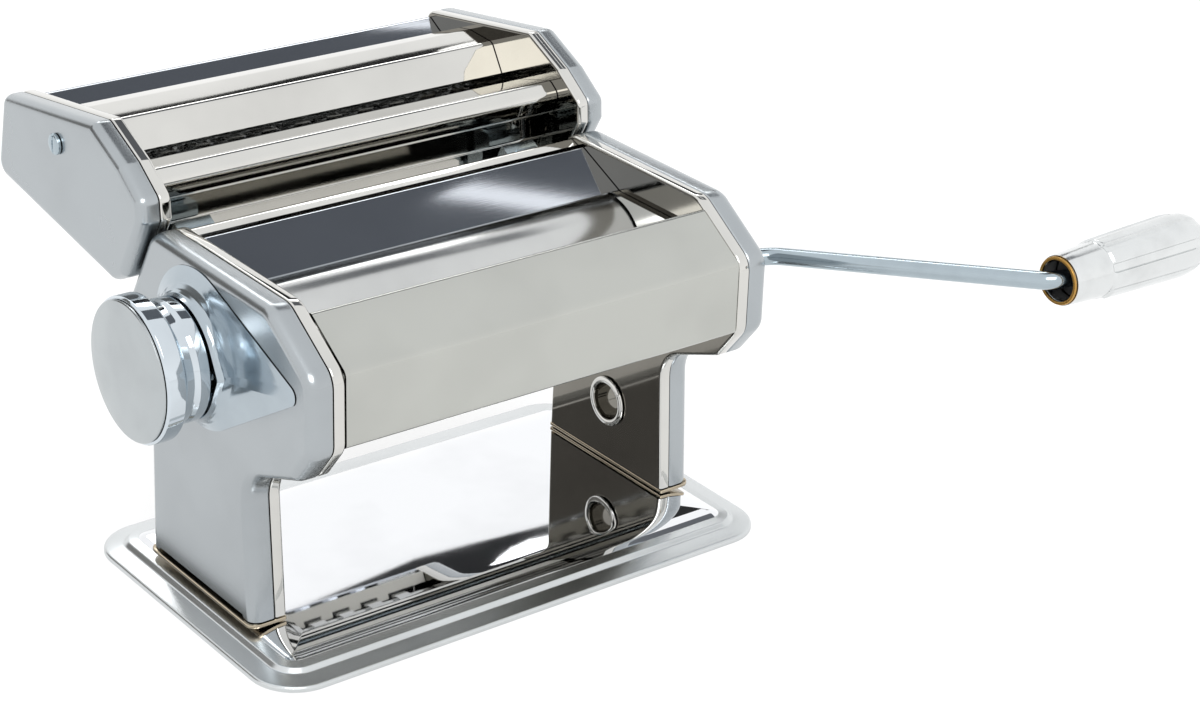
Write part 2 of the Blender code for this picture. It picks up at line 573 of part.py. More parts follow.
# --- cutter attachment: folded sheets ----------------------------------------------------------------------------------------
SPAN = CUTTER_INNER - GAP
rear_guard = rounded([(112.0, 130.4, 0.0), (120.6, 135.2, 1.6), (125.9, 112.0, 3.0),
                      (122.6, 107.9, 0.0)], False)
slab("cutter_rear_plate", strip(rear_guard, 0.8), -SPAN, SPAN, POLISHED)
roof = rounded([(106.6, 128.2, 0.0), (101.4, 135.6, 2.0), (94.6, 136.8, 6.0), (81.4, 136.0, 2.5),
                (75.4, 126.6, 0.0)], False)
slab("cutter_roof", strip(roof, 0.8), -SPAN, SPAN, POLISHED)
front_guard = rounded([(73.8, 124.8, 0.0), (47.0, 132.2, 1.6), (42.6, 129.0, 2.4),
                       (44.6, 122.6, 1.2), (47.6, 121.2, 1.0), (49.4, 112.2, 1.2),
                       (52.0, 110.6, 1.0), (53.6, 103.2, 2.0), (57.0, 101.6, 0.0)], False)
slab("cutter_front_guard", strip(front_guard, 0.8), -SPAN, SPAN, POLISHED)


# --- cutter attachment: grooved rollers, gears and combs -----------------------------------------------------------------------
def cutter_profile(first, disc, pitch, count, driven):
    out = [(-82.4, 3.6), (-77.6, 3.6), (-77.6, CORE_RADIUS)]
    for k in range(count):
        left = first + k * pitch
        out += [(left, CORE_RADIUS), (left, DISC_RADIUS), (left + disc, DISC_RADIUS),
                (left + disc, CORE_RADIUS)]
    if driven:
        out += [(90.6, 4.8), (90.6, SOCKET_BORE), (77.0, SOCKET_BORE)]
    else:
        out += [(77.6, CORE_RADIUS), (77.6, 3.6), (88.6, 3.6)]
    return out


WIDE_DISC = 6.1
NARROW_DISC = 2.7
wide_start = -74.8
narrow_start = -74.4
turned("wide_cutter_front_roller", cutter_profile(wide_start, WIDE_DISC, WIDE_PITCH, 12, True), 10,
       STEEL, WIDE_AXES[0], smooth=30)
turned("wide_cutter_rear_roller",
       cutter_profile(wide_start + WIDE_PITCH / 2, WIDE_DISC, WIDE_PITCH, 11, False), 10, STEEL,
       WIDE_AXES[1])
turned("narrow_cutter_front_roller",
       cutter_profile(narrow_start, NARROW_DISC, NARROW_PITCH, 23, True), 8, STEEL,
       NARROW_AXES[0])
turned("narrow_cutter_rear_roller",
       cutter_profile(narrow_start + NARROW_PITCH / 2, NARROW_DISC, NARROW_PITCH, 22, False), 8,
       STEEL, NARROW_AXES[1])
for label, axes in (("wide", WIDE_AXES), ("narrow", NARROW_AXES)):
    for place, axis, bore, offset in (("front", axes[0], 5.1, 0.0),
                                      ("rear", axes[1], 3.9, pi / CUTTER_GEAR_TEETH)):
        gear("%s_cutter_%s_gear" % (label, place), CUTTER_GEAR_TEETH, PAIR_SPACING / 2, 2.2, bore,
             84.3, 88.3, axis, offset, STEEL)


def comb(name, axis, root_point, first, pitch, count, finger):
    """A flat strip whose fingers reach into the grooves of one cutter roller."""
    start = Vector(root_point)
    towards = Vector(axis) - start
    reach = towards.length
    towards.normalize()
    normal = Vector((-towards.y, towards.x)) * 0.4
    edge = [(-SPAN, 0.0), (SPAN, 0.0), (SPAN, reach - DISC_RADIUS - 0.8)]
    for k in range(count - 1, -1, -1):
        middle = first + k * pitch
        edge += [(middle + finger / 2, reach - DISC_RADIUS - 0.8),
                 (middle + finger / 2, reach - CORE_RADIUS - 0.8),
                 (middle - finger / 2, reach - CORE_RADIUS - 0.8),
                 (middle - finger / 2, reach - DISC_RADIUS - 0.8)]
    edge.append((-SPAN, reach - DISC_RADIUS - 0.8))
    rings = []
    for sign in (-1, 1):
        rings.append([(x, *(start + towards * along + normal * sign)) for x, along in edge])
    return add_piece(name, loft(rings), STEEL)


comb("wide_cutter_comb", WIDE_AXES[1], (118.6, 106.8),
     wide_start + WIDE_PITCH / 2 + (WIDE_DISC + WIDE_PITCH) / 2, WIDE_PITCH, 10, 5.0)
comb("narrow_cutter_comb", NARROW_AXES[0], (60.5, 103.6),
     narrow_start + (NARROW_DISC + NARROW_PITCH) / 2, NARROW_PITCH, 22, 2.2)

# --- stand the whole machine over the middle of its own footprint -----------------------------------------------------------------
bpy.context.view_layer.update()
low = Vector((1e9, 1e9, 1e9))
high = -low
for piece in NODES:
    for vertex in piece.data.vertices:
        place = piece.matrix_world @ vertex.co
        low = Vector(map(min, low, place))
        high = Vector(map(max, high, place))
root.location = Vector((-(low.x + high.x) / 2, -(low.y + high.y) / 2, -low.z))
bpy.context.view_layer.update()
print("pieces", len(NODES), "root at", [round(v * 1000, 3) for v in root.location],
      "size", [round(v * 1000, 2) for v in high - low])
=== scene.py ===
# %% [markdown]
# # A hand-cranked pasta machine, dressed for its portrait
#
# The solid model of the machine comes in first, as a fixed frame: every part already has its real
# size and place. This notebook only adds what the eye wants: smooth pressed sheet, turned chrome,
# satin steel, and the soft light of a studio. Lengths in the text are millimetres.

# %% Load the frame
import bpy
import json
import numpy as np
from math import acos, atan2, hypot, pi, radians, tan
from mathutils import Matrix, Vector
from mathutils.geometry import tessellate_polygon


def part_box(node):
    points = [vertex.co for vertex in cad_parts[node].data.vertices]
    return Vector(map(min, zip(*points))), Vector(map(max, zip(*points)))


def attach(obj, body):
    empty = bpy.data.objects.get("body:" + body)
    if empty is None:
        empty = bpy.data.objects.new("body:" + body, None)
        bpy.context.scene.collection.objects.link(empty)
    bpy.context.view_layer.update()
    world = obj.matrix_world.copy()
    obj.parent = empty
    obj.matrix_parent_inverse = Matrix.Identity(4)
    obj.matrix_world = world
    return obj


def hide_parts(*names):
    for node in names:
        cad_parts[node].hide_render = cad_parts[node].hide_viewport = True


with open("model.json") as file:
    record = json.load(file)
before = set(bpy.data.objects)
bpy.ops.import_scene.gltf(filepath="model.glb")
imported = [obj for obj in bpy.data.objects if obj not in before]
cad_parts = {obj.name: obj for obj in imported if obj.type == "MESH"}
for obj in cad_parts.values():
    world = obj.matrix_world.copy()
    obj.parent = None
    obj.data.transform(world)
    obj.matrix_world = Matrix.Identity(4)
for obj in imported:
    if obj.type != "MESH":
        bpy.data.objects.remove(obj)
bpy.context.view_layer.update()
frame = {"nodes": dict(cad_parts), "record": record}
nodes = frame["nodes"]
MM = 0.001
base_low, base_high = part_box("base_plate")
MIDDLE = np.array([(base_low.x + base_high.x) / 2, (base_low.y + base_high.y) / 2, 0.0])
print("middle of the base", MIDDLE.round(5), "nodes", len(nodes))

# %% [markdown]
# ## Camera, floor and light
#
# The machine is nearly all mirror, so the studio does as much for its look as the metal. A long
# lens looks down over the left front corner. The floor is a pale sweep, the room is white, and a few
# dark boards stand out of view, because chrome with nothing dark to mirror looks like white plaster.
# The boards are only seen in reflections.

# %% Camera
camera_data = bpy.data.cameras.new("portrait_lens")
camera_data.sensor_width = 36.0
camera_data.lens = 82.83
camera_data.shift_x = 0.0153
camera_data.shift_y = 0.0133
camera_data.clip_end = 30.0
camera = bpy.data.objects.new("camera", camera_data)
bpy.context.scene.collection.objects.link(camera)
camera_right = Vector((0.79226, -0.60894, 0.03881))
camera_up = Vector((0.23473, 0.36286, 0.90180))
camera_back = Vector((-0.56323, -0.70535, 0.43041))
turn = Matrix((camera_right, camera_up, camera_back)).transposed()
CAMERA_OFFSET = Vector((-0.46994, -0.66459, 0.45135))      # from the middle of the base
camera.matrix_world = Matrix.Translation(Vector(MIDDLE) + CAMERA_OFFSET) @ turn.to_4x4()
bpy.context.scene.camera = camera
bpy.context.scene.view_settings.view_transform = "Standard"


# %% One helper for nodes, one for colours
def linear(code):
    """An sRGB hex colour as linear red, green, blue and 1: the sRGB curve undone for each channel."""
    parts = [int(code[k:k + 2], 16) / 255 for k in (1, 3, 5)]
    return (*[v / 12.92 if v <= 0.04045 else ((v + 0.055) / 1.055) ** 2.4 for v in parts], 1.0)


def add(tree, kind, inputs=None, **settings):
    """Add one node, set its settings, and fill its sockets with numbers or links."""
    node = tree.nodes.new(kind)
    for key, value in settings.items():
        setattr(node, key, value)
    for key, value in (inputs or {}).items():
        if isinstance(value, bpy.types.NodeSocket):
            tree.links.new(value, node.inputs[key])
        else:
            node.inputs[key].default_value = value
    return node


# %% [markdown]
# The room is a white tent: the world is a soft gradient from a pale horizon to a slightly dimmer
# zenith. It is drawn from the direction alone, so the light is the same from every side view.

# %% The white tent
world = bpy.data.worlds.new("white_tent")
bpy.context.scene.world = world
world.use_nodes = True
sky = world.node_tree
sky.nodes.clear()
direction = add(sky, "ShaderNodeTexCoord")
height = add(sky, "ShaderNodeSeparateXYZ", {"Vector": direction.outputs["Generated"]})
shade = add(sky, "ShaderNodeValToRGB", {"Fac": height.outputs["Z"]})
shade.color_ramp.elements[0].position = 0.0
shade.color_ramp.elements[0].color = linear("#FFFFFF")
shade.color_ramp.elements[1].position = 0.9
shade.color_ramp.elements[1].color = linear("#F4F5F6")
tent = add(sky, "ShaderNodeBackground", {"Color": shade.outputs["Color"], "Strength": 1.22})
add(sky, "ShaderNodeOutputWorld", {"Surface": tent.outputs["Background"]})


# %% [markdown]
# ## Shapes from outlines
#
# Nearly every part of this machine is a pressed sheet, a bent sheet or a turned piece. All three
# are the same thing in numbers: a ring of points that is repeated, smaller or further along, and
# skinned. So one function rounds the corners of an outline, one moves an outline inwards, and one
# skins a stack of rings and closes its ends.

# %% Rounded outlines
def rounded(corners, steps=8, closed=True):
    """Each corner (u, v, radius) becomes an arc: centre on the bisector, at radius / sin(half angle)."""
    out = []
    count = len(corners)
    for k, (u, v, radius) in enumerate(corners):
        here = np.array([u, v], float)
        if radius <= 0 or (not closed and k in (0, count - 1)):
            out.append(here[None])
            continue
        before = np.array(corners[k - 1][:2], float) - here
        after = np.array(corners[(k + 1) % count][:2], float) - here
        before /= np.linalg.norm(before)
        after /= np.linalg.norm(after)
        half = acos(np.clip(before @ after, -1.0, 1.0)) / 2
        middle = before + after
        centre = here + middle / np.linalg.norm(middle) * radius / np.sin(half)
        start = here + before * radius / tan(half) - centre
        end = here + after * radius / tan(half) - centre
        side = np.sign(start[0] * end[1] - start[1] * end[0])
        angle = side * (pi - 2 * half) * np.linspace(0.0, 1.0, steps + 1)
        out.append(centre + np.stack([start[0] * np.cos(angle) - start[1] * np.sin(angle),
                                      start[0] * np.sin(angle) + start[1] * np.cos(angle)], 1))
    return np.concatenate(out)


def area(outline):
    """Signed area by the shoelace sum, positive when the outline runs anticlockwise."""
    after = np.roll(outline, -1, 0)
    return (outline[:, 0] * after[:, 1] - after[:, 0] * outline[:, 1]).sum() / 2


def shrunk(corners, inward):
    """Corners of the outline moved inwards: each side is shifted along its normal and met with the next."""
    points = np.array([c[:2] for c in corners], float)
    sign = np.sign(area(points))
    along = np.roll(points, -1, 0) - points
    along /= np.linalg.norm(along, axis=1)[:, None]
    normal = np.stack([-along[:, 1], along[:, 0]], 1) * sign
    before, n_before = np.roll(along, 1, 0), np.roll(normal, 1, 0)
    cosine = (normal * n_before).sum(1)
    moved = points + (normal + n_before) * (inward / (1 + cosine))[:, None]
    bend = (before[:, 0] * along[:, 1] - before[:, 1] * along[:, 0]) * sign
    out = []
    for (y, z), (_, _, radius), turned_in in zip(moved, corners, bend):
        new = radius - inward if turned_in > 0 else radius + inward
        out.append((y, z, max(new, 0.25) if radius > 0 else 0.0))
    return out


def circle(centre, radius, count=48):
    """Points at equal angles round a centre."""
    angle = 2 * pi * np.arange(count) / count
    return np.stack([centre[0] + radius * np.cos(angle), centre[1] + radius * np.sin(angle)], 1)


def sheet_outline(path, thickness):
    """Outline of a sheet: its middle line shifted half a thickness along the mean normal to each side."""
    ahead = np.diff(path, axis=0)
    ahead /= np.linalg.norm(ahead, axis=1)[:, None]
    first = np.vstack([ahead[:1], ahead])
    second = np.vstack([ahead, ahead[-1:]])
    normal = np.stack([-(first + second)[:, 1], (first + second)[:, 0]], 1)
    normal /= np.linalg.norm(normal, axis=1)[:, None]
    across = (normal * np.stack([-first[:, 1], first[:, 0]], 1)).sum(1)
    shift = normal * (thickness / 2 / across)[:, None]
    return np.vstack([path + shift, (path - shift)[::-1]])


def at_x(outline, x):
    """Stand a (y, z) outline in the plane at x."""
    return np.column_stack([np.full(len(outline), float(x)), outline])


# %% Skin a stack of rings
def cap(loops, offsets, forward):
    """Triangles that fill the plane between an outer loop and its holes, wound with or against it."""
    flat = int(np.argmin(np.ptp(loops[0], axis=0)))
    keep = [k for k in range(3) if k != flat]
    whole = np.concatenate([loop[:, keep] for loop in loops])
    number = np.concatenate([np.arange(len(loop)) + start for loop, start in zip(loops, offsets)])
    triangles = np.array(tessellate_polygon([[Vector((*p, 0.0)) for p in loop[:, keep]]
                                             for loop in loops]))
    a, b, c = (whole[triangles[:, k]] for k in range(3))
    twice = (b[:, 0] - a[:, 0]) * (c[:, 1] - a[:, 1]) - (b[:, 1] - a[:, 1]) * (c[:, 0] - a[:, 0])
    same = (twice > 0) == (area(loops[0][:, keep]) > 0)
    triangles[same != forward] = triangles[same != forward][:, ::-1]
    return number[triangles[np.abs(twice) > 1e-9]]


def stack_faces(start, rings, count, wrap, flip):
    """Quads between neighbouring rings of equal count; wrap joins the last ring to the first."""
    row = np.arange(rings if wrap else rings - 1)[:, None]
    k = np.arange(count)[None]
    after_row, after_k = (row + 1) % rings, (k + 1) % count
    quads = np.stack([row * count + k, row * count + after_k, after_row * count + after_k,
                      after_row * count + k], -1).reshape(-1, 4) + start
    return quads[:, ::-1] if flip else quads


def skin(name, rings, holes=(), wrap=False, sharp=28):
    """A closed surface over rings (ring, point, xyz) in mm, with holes given as stacks of their own.

    The first and last rings are filled; the signed volume, the sum of a . (b x c) / 6 over all
    triangles, says whether the faces look outwards, and they are turned round if they don't.
    """
    stacks = [np.asarray(rings, float)]
    for wall in holes:
        wall = np.asarray(wall, float)
        stacks.append(wall if area_sign(wall) == area_sign(stacks[0]) else wall[:, ::-1])
    starts = np.cumsum([0] + [s.shape[0] * s.shape[1] for s in stacks])
    points = np.concatenate([s.reshape(-1, 3) for s in stacks])
    quads = np.concatenate([stack_faces(at, s.shape[0], s.shape[1], wrap, k > 0)
                            for k, (s, at) in enumerate(zip(stacks, starts))])
    triangles = np.zeros((0, 3), int)
    if not wrap:
        first = cap([s[0] for s in stacks], starts[:-1], False)
        last_at = [at + (s.shape[0] - 1) * s.shape[1] for s, at in zip(stacks, starts)]
        last = cap([s[-1] for s in stacks], last_at, True)
        triangles = np.concatenate([first, last])
    corner = points[quads]
    volume = np.einsum("ij,ij->i", corner[:, 0], np.cross(corner[:, 1], corner[:, 2])).sum()
    volume += np.einsum("ij,ij->i", corner[:, 0], np.cross(corner[:, 2], corner[:, 3])).sum()
    if len(triangles):
        corner = points[triangles]
        volume += np.einsum("ij,ij->i", corner[:, 0], np.cross(corner[:, 1], corner[:, 2])).sum()
    if volume < 0:
        quads, triangles = quads[:, ::-1], triangles[:, ::-1]
    mesh = bpy.data.meshes.new(name)
    mesh.from_pydata((points * MM + MIDDLE).tolist(), [], quads.tolist() + triangles.tolist())
    mesh.validate()
    mesh.shade_smooth()
    mesh.set_sharp_from_angle(angle=radians(sharp))
    piece = bpy.data.objects.new(name, mesh)
    bpy.context.scene.collection.objects.link(piece)
    return piece


def area_sign(stack):
    """Which way round the first ring of a stack runs, seen along its flat direction."""
    flat = int(np.argmin(np.ptp(stack[0], axis=0)))
    return np.sign(area(stack[0][:, [k for k in range(3) if k != flat]]))


# %% [markdown]
# ## Metals
#
# What sets one metal of this machine apart from the next is not colour but how the surface was
# made: rolled and buffed, brushed, tumbled, ground or plated. In a shader that is roughness, a
# little bump, and the direction the bump runs in. So one recipe makes them all: a slow cloud varies
# the roughness, as handling and polishing do, and a fine grain, which may be stretched one way,
# bends the reflections. Object coordinates are metres, so a pattern of s mm has scale 1 / (s mm).

# %% The metal recipe
def metal(name, colour, roughness, vary=0.02, cloud=35.0, grain=0.5, stretch=(1, 1, 1), relief=0.002,
          ripple=0.0):
    """Roughness + vary * cloud noise; bump of `relief` mm from grain noise and `ripple` mm from a slow
    wave; base colour mixed with a copy 12 percent darker by the cloud."""
    material = bpy.data.materials.new(name)
    material.use_nodes = True
    tree = material.node_tree
    shader = tree.nodes["Principled BSDF"]
    shader.inputs["Metallic"].default_value = 1.0
    where = add(tree, "ShaderNodeTexCoord").outputs["Object"]
    slow = add(tree, "ShaderNodeTexNoise", {"Vector": where, "Scale": 1 / (cloud * MM),
                                            "Detail": 3.0, "Roughness": 0.55})
    spread = add(tree, "ShaderNodeMapRange", {"Value": slow.outputs["Fac"], "From Min": 0.3,
                                              "From Max": 0.7, "To Min": roughness - vary,
                                              "To Max": roughness + vary})
    tree.links.new(spread.outputs["Result"], shader.inputs["Roughness"])
    full = linear(colour)
    dark = tuple(v * 0.88 for v in full[:3]) + (1.0,)
    ramp = add(tree, "ShaderNodeValToRGB", {"Fac": slow.outputs["Fac"]})
    ramp.color_ramp.elements[0].position = 0.2
    ramp.color_ramp.elements[0].color = dark
    ramp.color_ramp.elements[1].position = 0.55
    ramp.color_ramp.elements[1].color = full
    tree.links.new(ramp.outputs["Color"], shader.inputs["Base Color"])
    squeezed = add(tree, "ShaderNodeMapping", {"Vector": where, "Scale": stretch})
    fine = add(tree, "ShaderNodeTexNoise", {"Vector": squeezed.outputs["Vector"],
                                            "Scale": 1 / (grain * MM), "Detail": 2.0})
    bump = add(tree, "ShaderNodeBump", {"Height": fine.outputs["Fac"], "Distance": relief * MM,
                                        "Strength": 1.0})
    normal = bump.outputs["Normal"]
    if ripple:
        wave = add(tree, "ShaderNodeTexNoise", {"Vector": where, "Scale": 1 / (cloud * 0.8 * MM),
                                                "Detail": 0.0})
        normal = add(tree, "ShaderNodeBump", {"Height": wave.outputs["Fac"], "Normal": normal,
                                              "Distance": ripple * MM}).outputs["Normal"]
    tree.links.new(normal, shader.inputs["Normal"])
    return material


# Zinc-plated sheet, tumbled satin: a fine even tooth, slightly blue, no mirror image.
satin_zinc = metal("satin_zinc_plated_steel", "#AAAFB2", 0.25, 0.03, 40.0, 0.6, (1, 1, 1), 0.002)
# The same sheet drawn into the base: a little smoother, with lines from the die.
satin_rim = metal("satin_drawn_steel", "#CCCFD0", 0.24, 0.03, 40.0, 0.5, (0.2, 0.2, 1), 0.003)
# Bright nickel: a true mirror, with the slow ripple of thin pressed sheet.
bright_nickel = metal("bright_nickel_plate", "#D0CFCB", 0.05, 0.015, 40.0, 0.8, (1, 1, 1), 0.0004,
                      0.05)
# The front sheet is buffed across its short side, so it mirrors softly.
buffed_nickel = metal("buffed_nickel_sheet", "#B9BAB5", 0.16, 0.02, 50.0, 0.4, (1, 0.1, 0.1), 0.0015)
# The flats of the inner plates are painted darker than their rims: painted shade standing in for the dark
# surroundings they reflect.
painted_shade_nickel = metal("nickel_flat_painted_shade", "#85827B", 0.06, 0.015, 35.0, 0.8, (1, 1, 1), 0.0006, 0.04)
# Bright chrome over the base pressing: cooler than nickel, with light die lines.
bright_chrome_sheet = metal("bright_chrome_sheet", "#E9EAEC", 0.022, 0.008, 50.0, 0.5, (0.15, 1, 1),
                            0.0003, 0.012)
# Rolled stainless sheet, brushed lengthwise, so a lamp smears into a stripe across the sheet.
brushed_mirror = metal("brushed_stainless_sheet", "#BFC3C9", 0.07, 0.01, 60.0, 0.45,
                       (0.04, 1, 1), 0.0045)
# Turned brass, plated with chrome, on the knob.
turned_chrome = metal("turned_chrome", "#CBD3D9", 0.055, 0.015, 25.0, 0.3, (1, 0.1, 0.1), 0.0008)
# Knob's end disc and boss: chrome over a satin ground.
satin_chrome = metal("satin_chrome", "#B2B7B9", 0.24, 0.03, 20.0, 0.5, (1, 1, 1), 0.002)
soft_chrome = metal("soft_chrome", "#AEB8BF", 0.14, 0.03, 22.0, 0.6, (1, 1, 1), 0.0015)
# Bright zinc on the bent crank rod: bluish, drawn lines run along the bar.
bright_zinc = metal("bright_zinc_rod", "#A9B5BC", 0.17, 0.05, 12.0, 0.5, (0.3, 1, 1), 0.004)
# Chrome on moulded plastic: bright, but softened by the orange peel of the moulding.
plated_plastic = metal("chrome_plated_abs", "#D9DBDB", 0.17, 0.03, 10.0, 1.2, (1, 1, 1), 0.003)
# Ground rollers: rings of fine grinding marks round the axis.
ground_steel = metal("ground_roller_steel", "#C4C5C4", 0.20, 0.02, 30.0, 0.25, (1, 0.03, 0.03), 0.002)
milled_steel = metal("milled_gear_steel", "#8D9196", 0.38, 0.05, 15.0, 0.6, (1, 1, 0.2), 0.006)
warm_brass = metal("rolled_brass", "#B98F4D", 0.27, 0.05, 6.0, 0.4, (1, 1, 1), 0.003)
warm_strip = metal("bronze_strip", "#B5A995", 0.16, 0.04, 12.0, 0.4, (1, 0.2, 1), 0.003)


# %% [markdown]
# Two plastics: white acetal, which bearings and scrapers are made of because it slides dry, and the
# black nylon bush in the grip. Both are plain moulded surfaces with a fine spark-eroded texture.

# %% Plastics
def moulded(name, colour, roughness, ior):
    """A moulded plastic: roughness varied by a noise of 4 mm, bump from a noise of 0.35 mm."""
    material = bpy.data.materials.new(name)
    material.use_nodes = True
    tree = material.node_tree
    shader = tree.nodes["Principled BSDF"]
    shader.inputs["Base Color"].default_value = linear(colour)
    shader.inputs["IOR"].default_value = ior
    where = add(tree, "ShaderNodeTexCoord").outputs["Object"]
    patch = add(tree, "ShaderNodeTexNoise", {"Vector": where, "Scale": 1 / (4 * MM)})
    spread = add(tree, "ShaderNodeMapRange", {"Value": patch.outputs["Fac"],
                                              "To Min": roughness - 0.08,
                                              "To Max": roughness + 0.08})
    tree.links.new(spread.outputs["Result"], shader.inputs["Roughness"])
    tooth = add(tree, "ShaderNodeTexNoise", {"Vector": where, "Scale": 1 / (0.35 * MM)})
    bump = add(tree, "ShaderNodeBump", {"Height": tooth.outputs["Fac"], "Distance": 0.01 * MM})
    tree.links.new(bump.outputs["Normal"], shader.inputs["Normal"])
    return material


acetal = moulded("white_acetal", "#E6E4DC", 0.42, 1.48)
nylon = moulded("black_nylon", "#17181A", 0.48, 1.53)


# %% Put a piece on its body
def fit(piece, material, body, node, second=None):
    """Give a piece its finish, hang it on its body, and let it stand for the CAD node it details."""
    piece.data.materials.append(material)
    if second:
        piece.data.materials.append(second)
    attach(piece, body)
    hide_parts(node)
    return piece


BODY_OF = {}
for body_name, members in frame["record"]["behaviour"]["bodies"].items():
    BODY_OF.update({member: body_name for member in members})


# %% [markdown]
# ## Base plate
#
# The base is one pressing: a flat rim lies on the bench, a groove and a round shoulder stiffen it,
# and the middle is a bright flat plateau. A profile of inset and height is carried round the rounded
# rectangle. The corners are moved inwards with the profile, so every ring stays a true rounded
# rectangle and the reflections run evenly round the corner.

# %% Base plate
half_width = (base_high.x - base_low.x) / 2 / MM
half_depth = (base_high.y - base_low.y) / 2 / MM
plateau = base_high.z / MM
BASE_CORNER = 16.0
rim_corners = [(-half_width, -half_depth, BASE_CORNER), (half_width, -half_depth, BASE_CORNER),
               (half_width, half_depth, BASE_CORNER), (-half_width, half_depth, BASE_CORNER)]
soft = np.linspace(0.0, 1.0, 14)
plateau_edge = [(26.0 - 13.2 * t, plateau - 1.0 * t ** 3, 0) for t in soft]
base_profile = rounded(plateau_edge + [(11.4, 4.4, 0.8), (8.0, 4.05, 1.0), (6.6, 2.6, 1.2),
                                       (0.0, 1.7, 1.1), (0.0, 0.0, 0.15), (5.2, 0.0, 0.4),
                                       (7.4, 1.3, 0.8), (12.0, 2.9, 0.8), (14.6, 4.0, 0.8),
                                       (27.0, 4.8, 0)], 6, False)
base_rings = [np.column_stack([ring := rounded(shrunk(rim_corners, inward), 12),
                               np.full(len(ring), z)]) for inward, z in base_profile]
base = fit(skin("pressed_base", base_rings), satin_rim, "frame", "base_plate", bright_chrome_sheet)
bright = [int(face.center.z > (plateau - 1.3) * MM and face.normal.z > 0.85)
          for face in base.data.polygons]
base.data.polygons.foreach_set("material_index", bright)
print("base", len(base.data.polygons), "faces,", sum(bright), "bright")


# %% [markdown]
# ## Side frames
#
# Each side is two pressings back to back: a bright inner plate that carries the bearings, and a
# satin cover over the gears. Both follow one outline, an octagon on a narrower leg, hollow behind.
# A pressing has a soft shoulder where the sheet was drawn round the punch, so the profile is a
# quarter of an ellipse, then a straight wall to the rim, then the same again inside, one sheet in.

# %% Side outline
BODY = [(-38.0, 119.5, 9.0), (-61.2, 104.4, 8.0), (-61.6, 80.0, 7.0), (-52.5, 68.4, 5.0),
        (-24.6, 57.6, 12.0), (-28.0, 4.0, 1.2), (-22.6, 4.0, 0.0), (-22.0, 4.0, 0.0),
        (29.0, 4.0, 0.0), (29.6, 4.0, 0.0), (34.8, 4.0, 1.2), (33.8, 59.5, 10.0),
        (45.5, 68.0, 2.5), (52.0, 74.5, 3.0), (52.0, 81.0, 4.0), (30.5, 119.5, 7.0)]
LEG_BOTTOM = 8.0
RELIEF = 9.1


def body_ring(inward, relief=False):
    """The side outline moved inwards, cut off level at the leg's foot, with a shallow relief between."""
    ring = rounded(shrunk(BODY, inward), 8)
    foot = np.full(len(ring), LEG_BOTTOM)
    if relief:
        foot[(ring[:, 0] > -22.3) & (ring[:, 0] < 29.3)] = RELIEF
    return np.column_stack([ring[:, 0], np.maximum(ring[:, 1], foot)])


def pan_profile(face, rim, edge, depth, gauge, steps=8, seam=0.35):
    """(inset, x) from the middle of the face, over the shoulder, to the rim, and back one sheet inside."""
    way = np.sign(rim - face)
    t = np.linspace(0.0, pi / 2, steps)
    outside = np.column_stack([edge * (1 - np.sin(t)), face + way * depth * (1 - np.cos(t))])
    inside = [(gauge, rim), (gauge, face + way * (depth + 0.3)),
              (edge * 0.5 + gauge, face + way * (gauge + 0.9)), (edge + gauge, face + way * gauge),
              (edge + gauge + 1.0, face + way * gauge)]
    hold = [(edge + 0.8, face), (edge + 0.05, face)]
    lip = [(0.0, rim - way * 2.2 * seam), (0.3 * seam, rim - way * 1.1 * seam),
           (seam, rim - way * 0.2 * seam), (1.2 * seam, rim)]
    return hold + outside.tolist() + lip + inside


def pan(name, ring, profile, side, loops=(), gauge=1.2):
    """A hollow pressing: rings along the profile, with a straight punched wall for each hole."""
    face = profile[0][1]
    way = 1 if profile[8][1] > face else -1
    rings = [at_x(ring(inward), side * x) for inward, x in profile]
    walls = [[at_x(loop, side * face), at_x(loop, side * (face + way * gauge))] for loop in loops]
    return skin(name, rings, walls)


def axis_of(node):
    """(y, z) of the middle of a node's box, in mm from the middle of the base."""
    low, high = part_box(node)
    middle = (np.array(low) + np.array(high)) / 2
    return tuple(((middle - MIDDLE) / MM)[1:])


front_axis = axis_of("front_roller")
rear_axis = axis_of("rear_roller")
clamp_axis = axis_of("clamp_hole_sleeve")
print("roller axes", np.round(front_axis, 2), np.round(rear_axis, 2), "clamp", np.round(clamp_axis, 2))

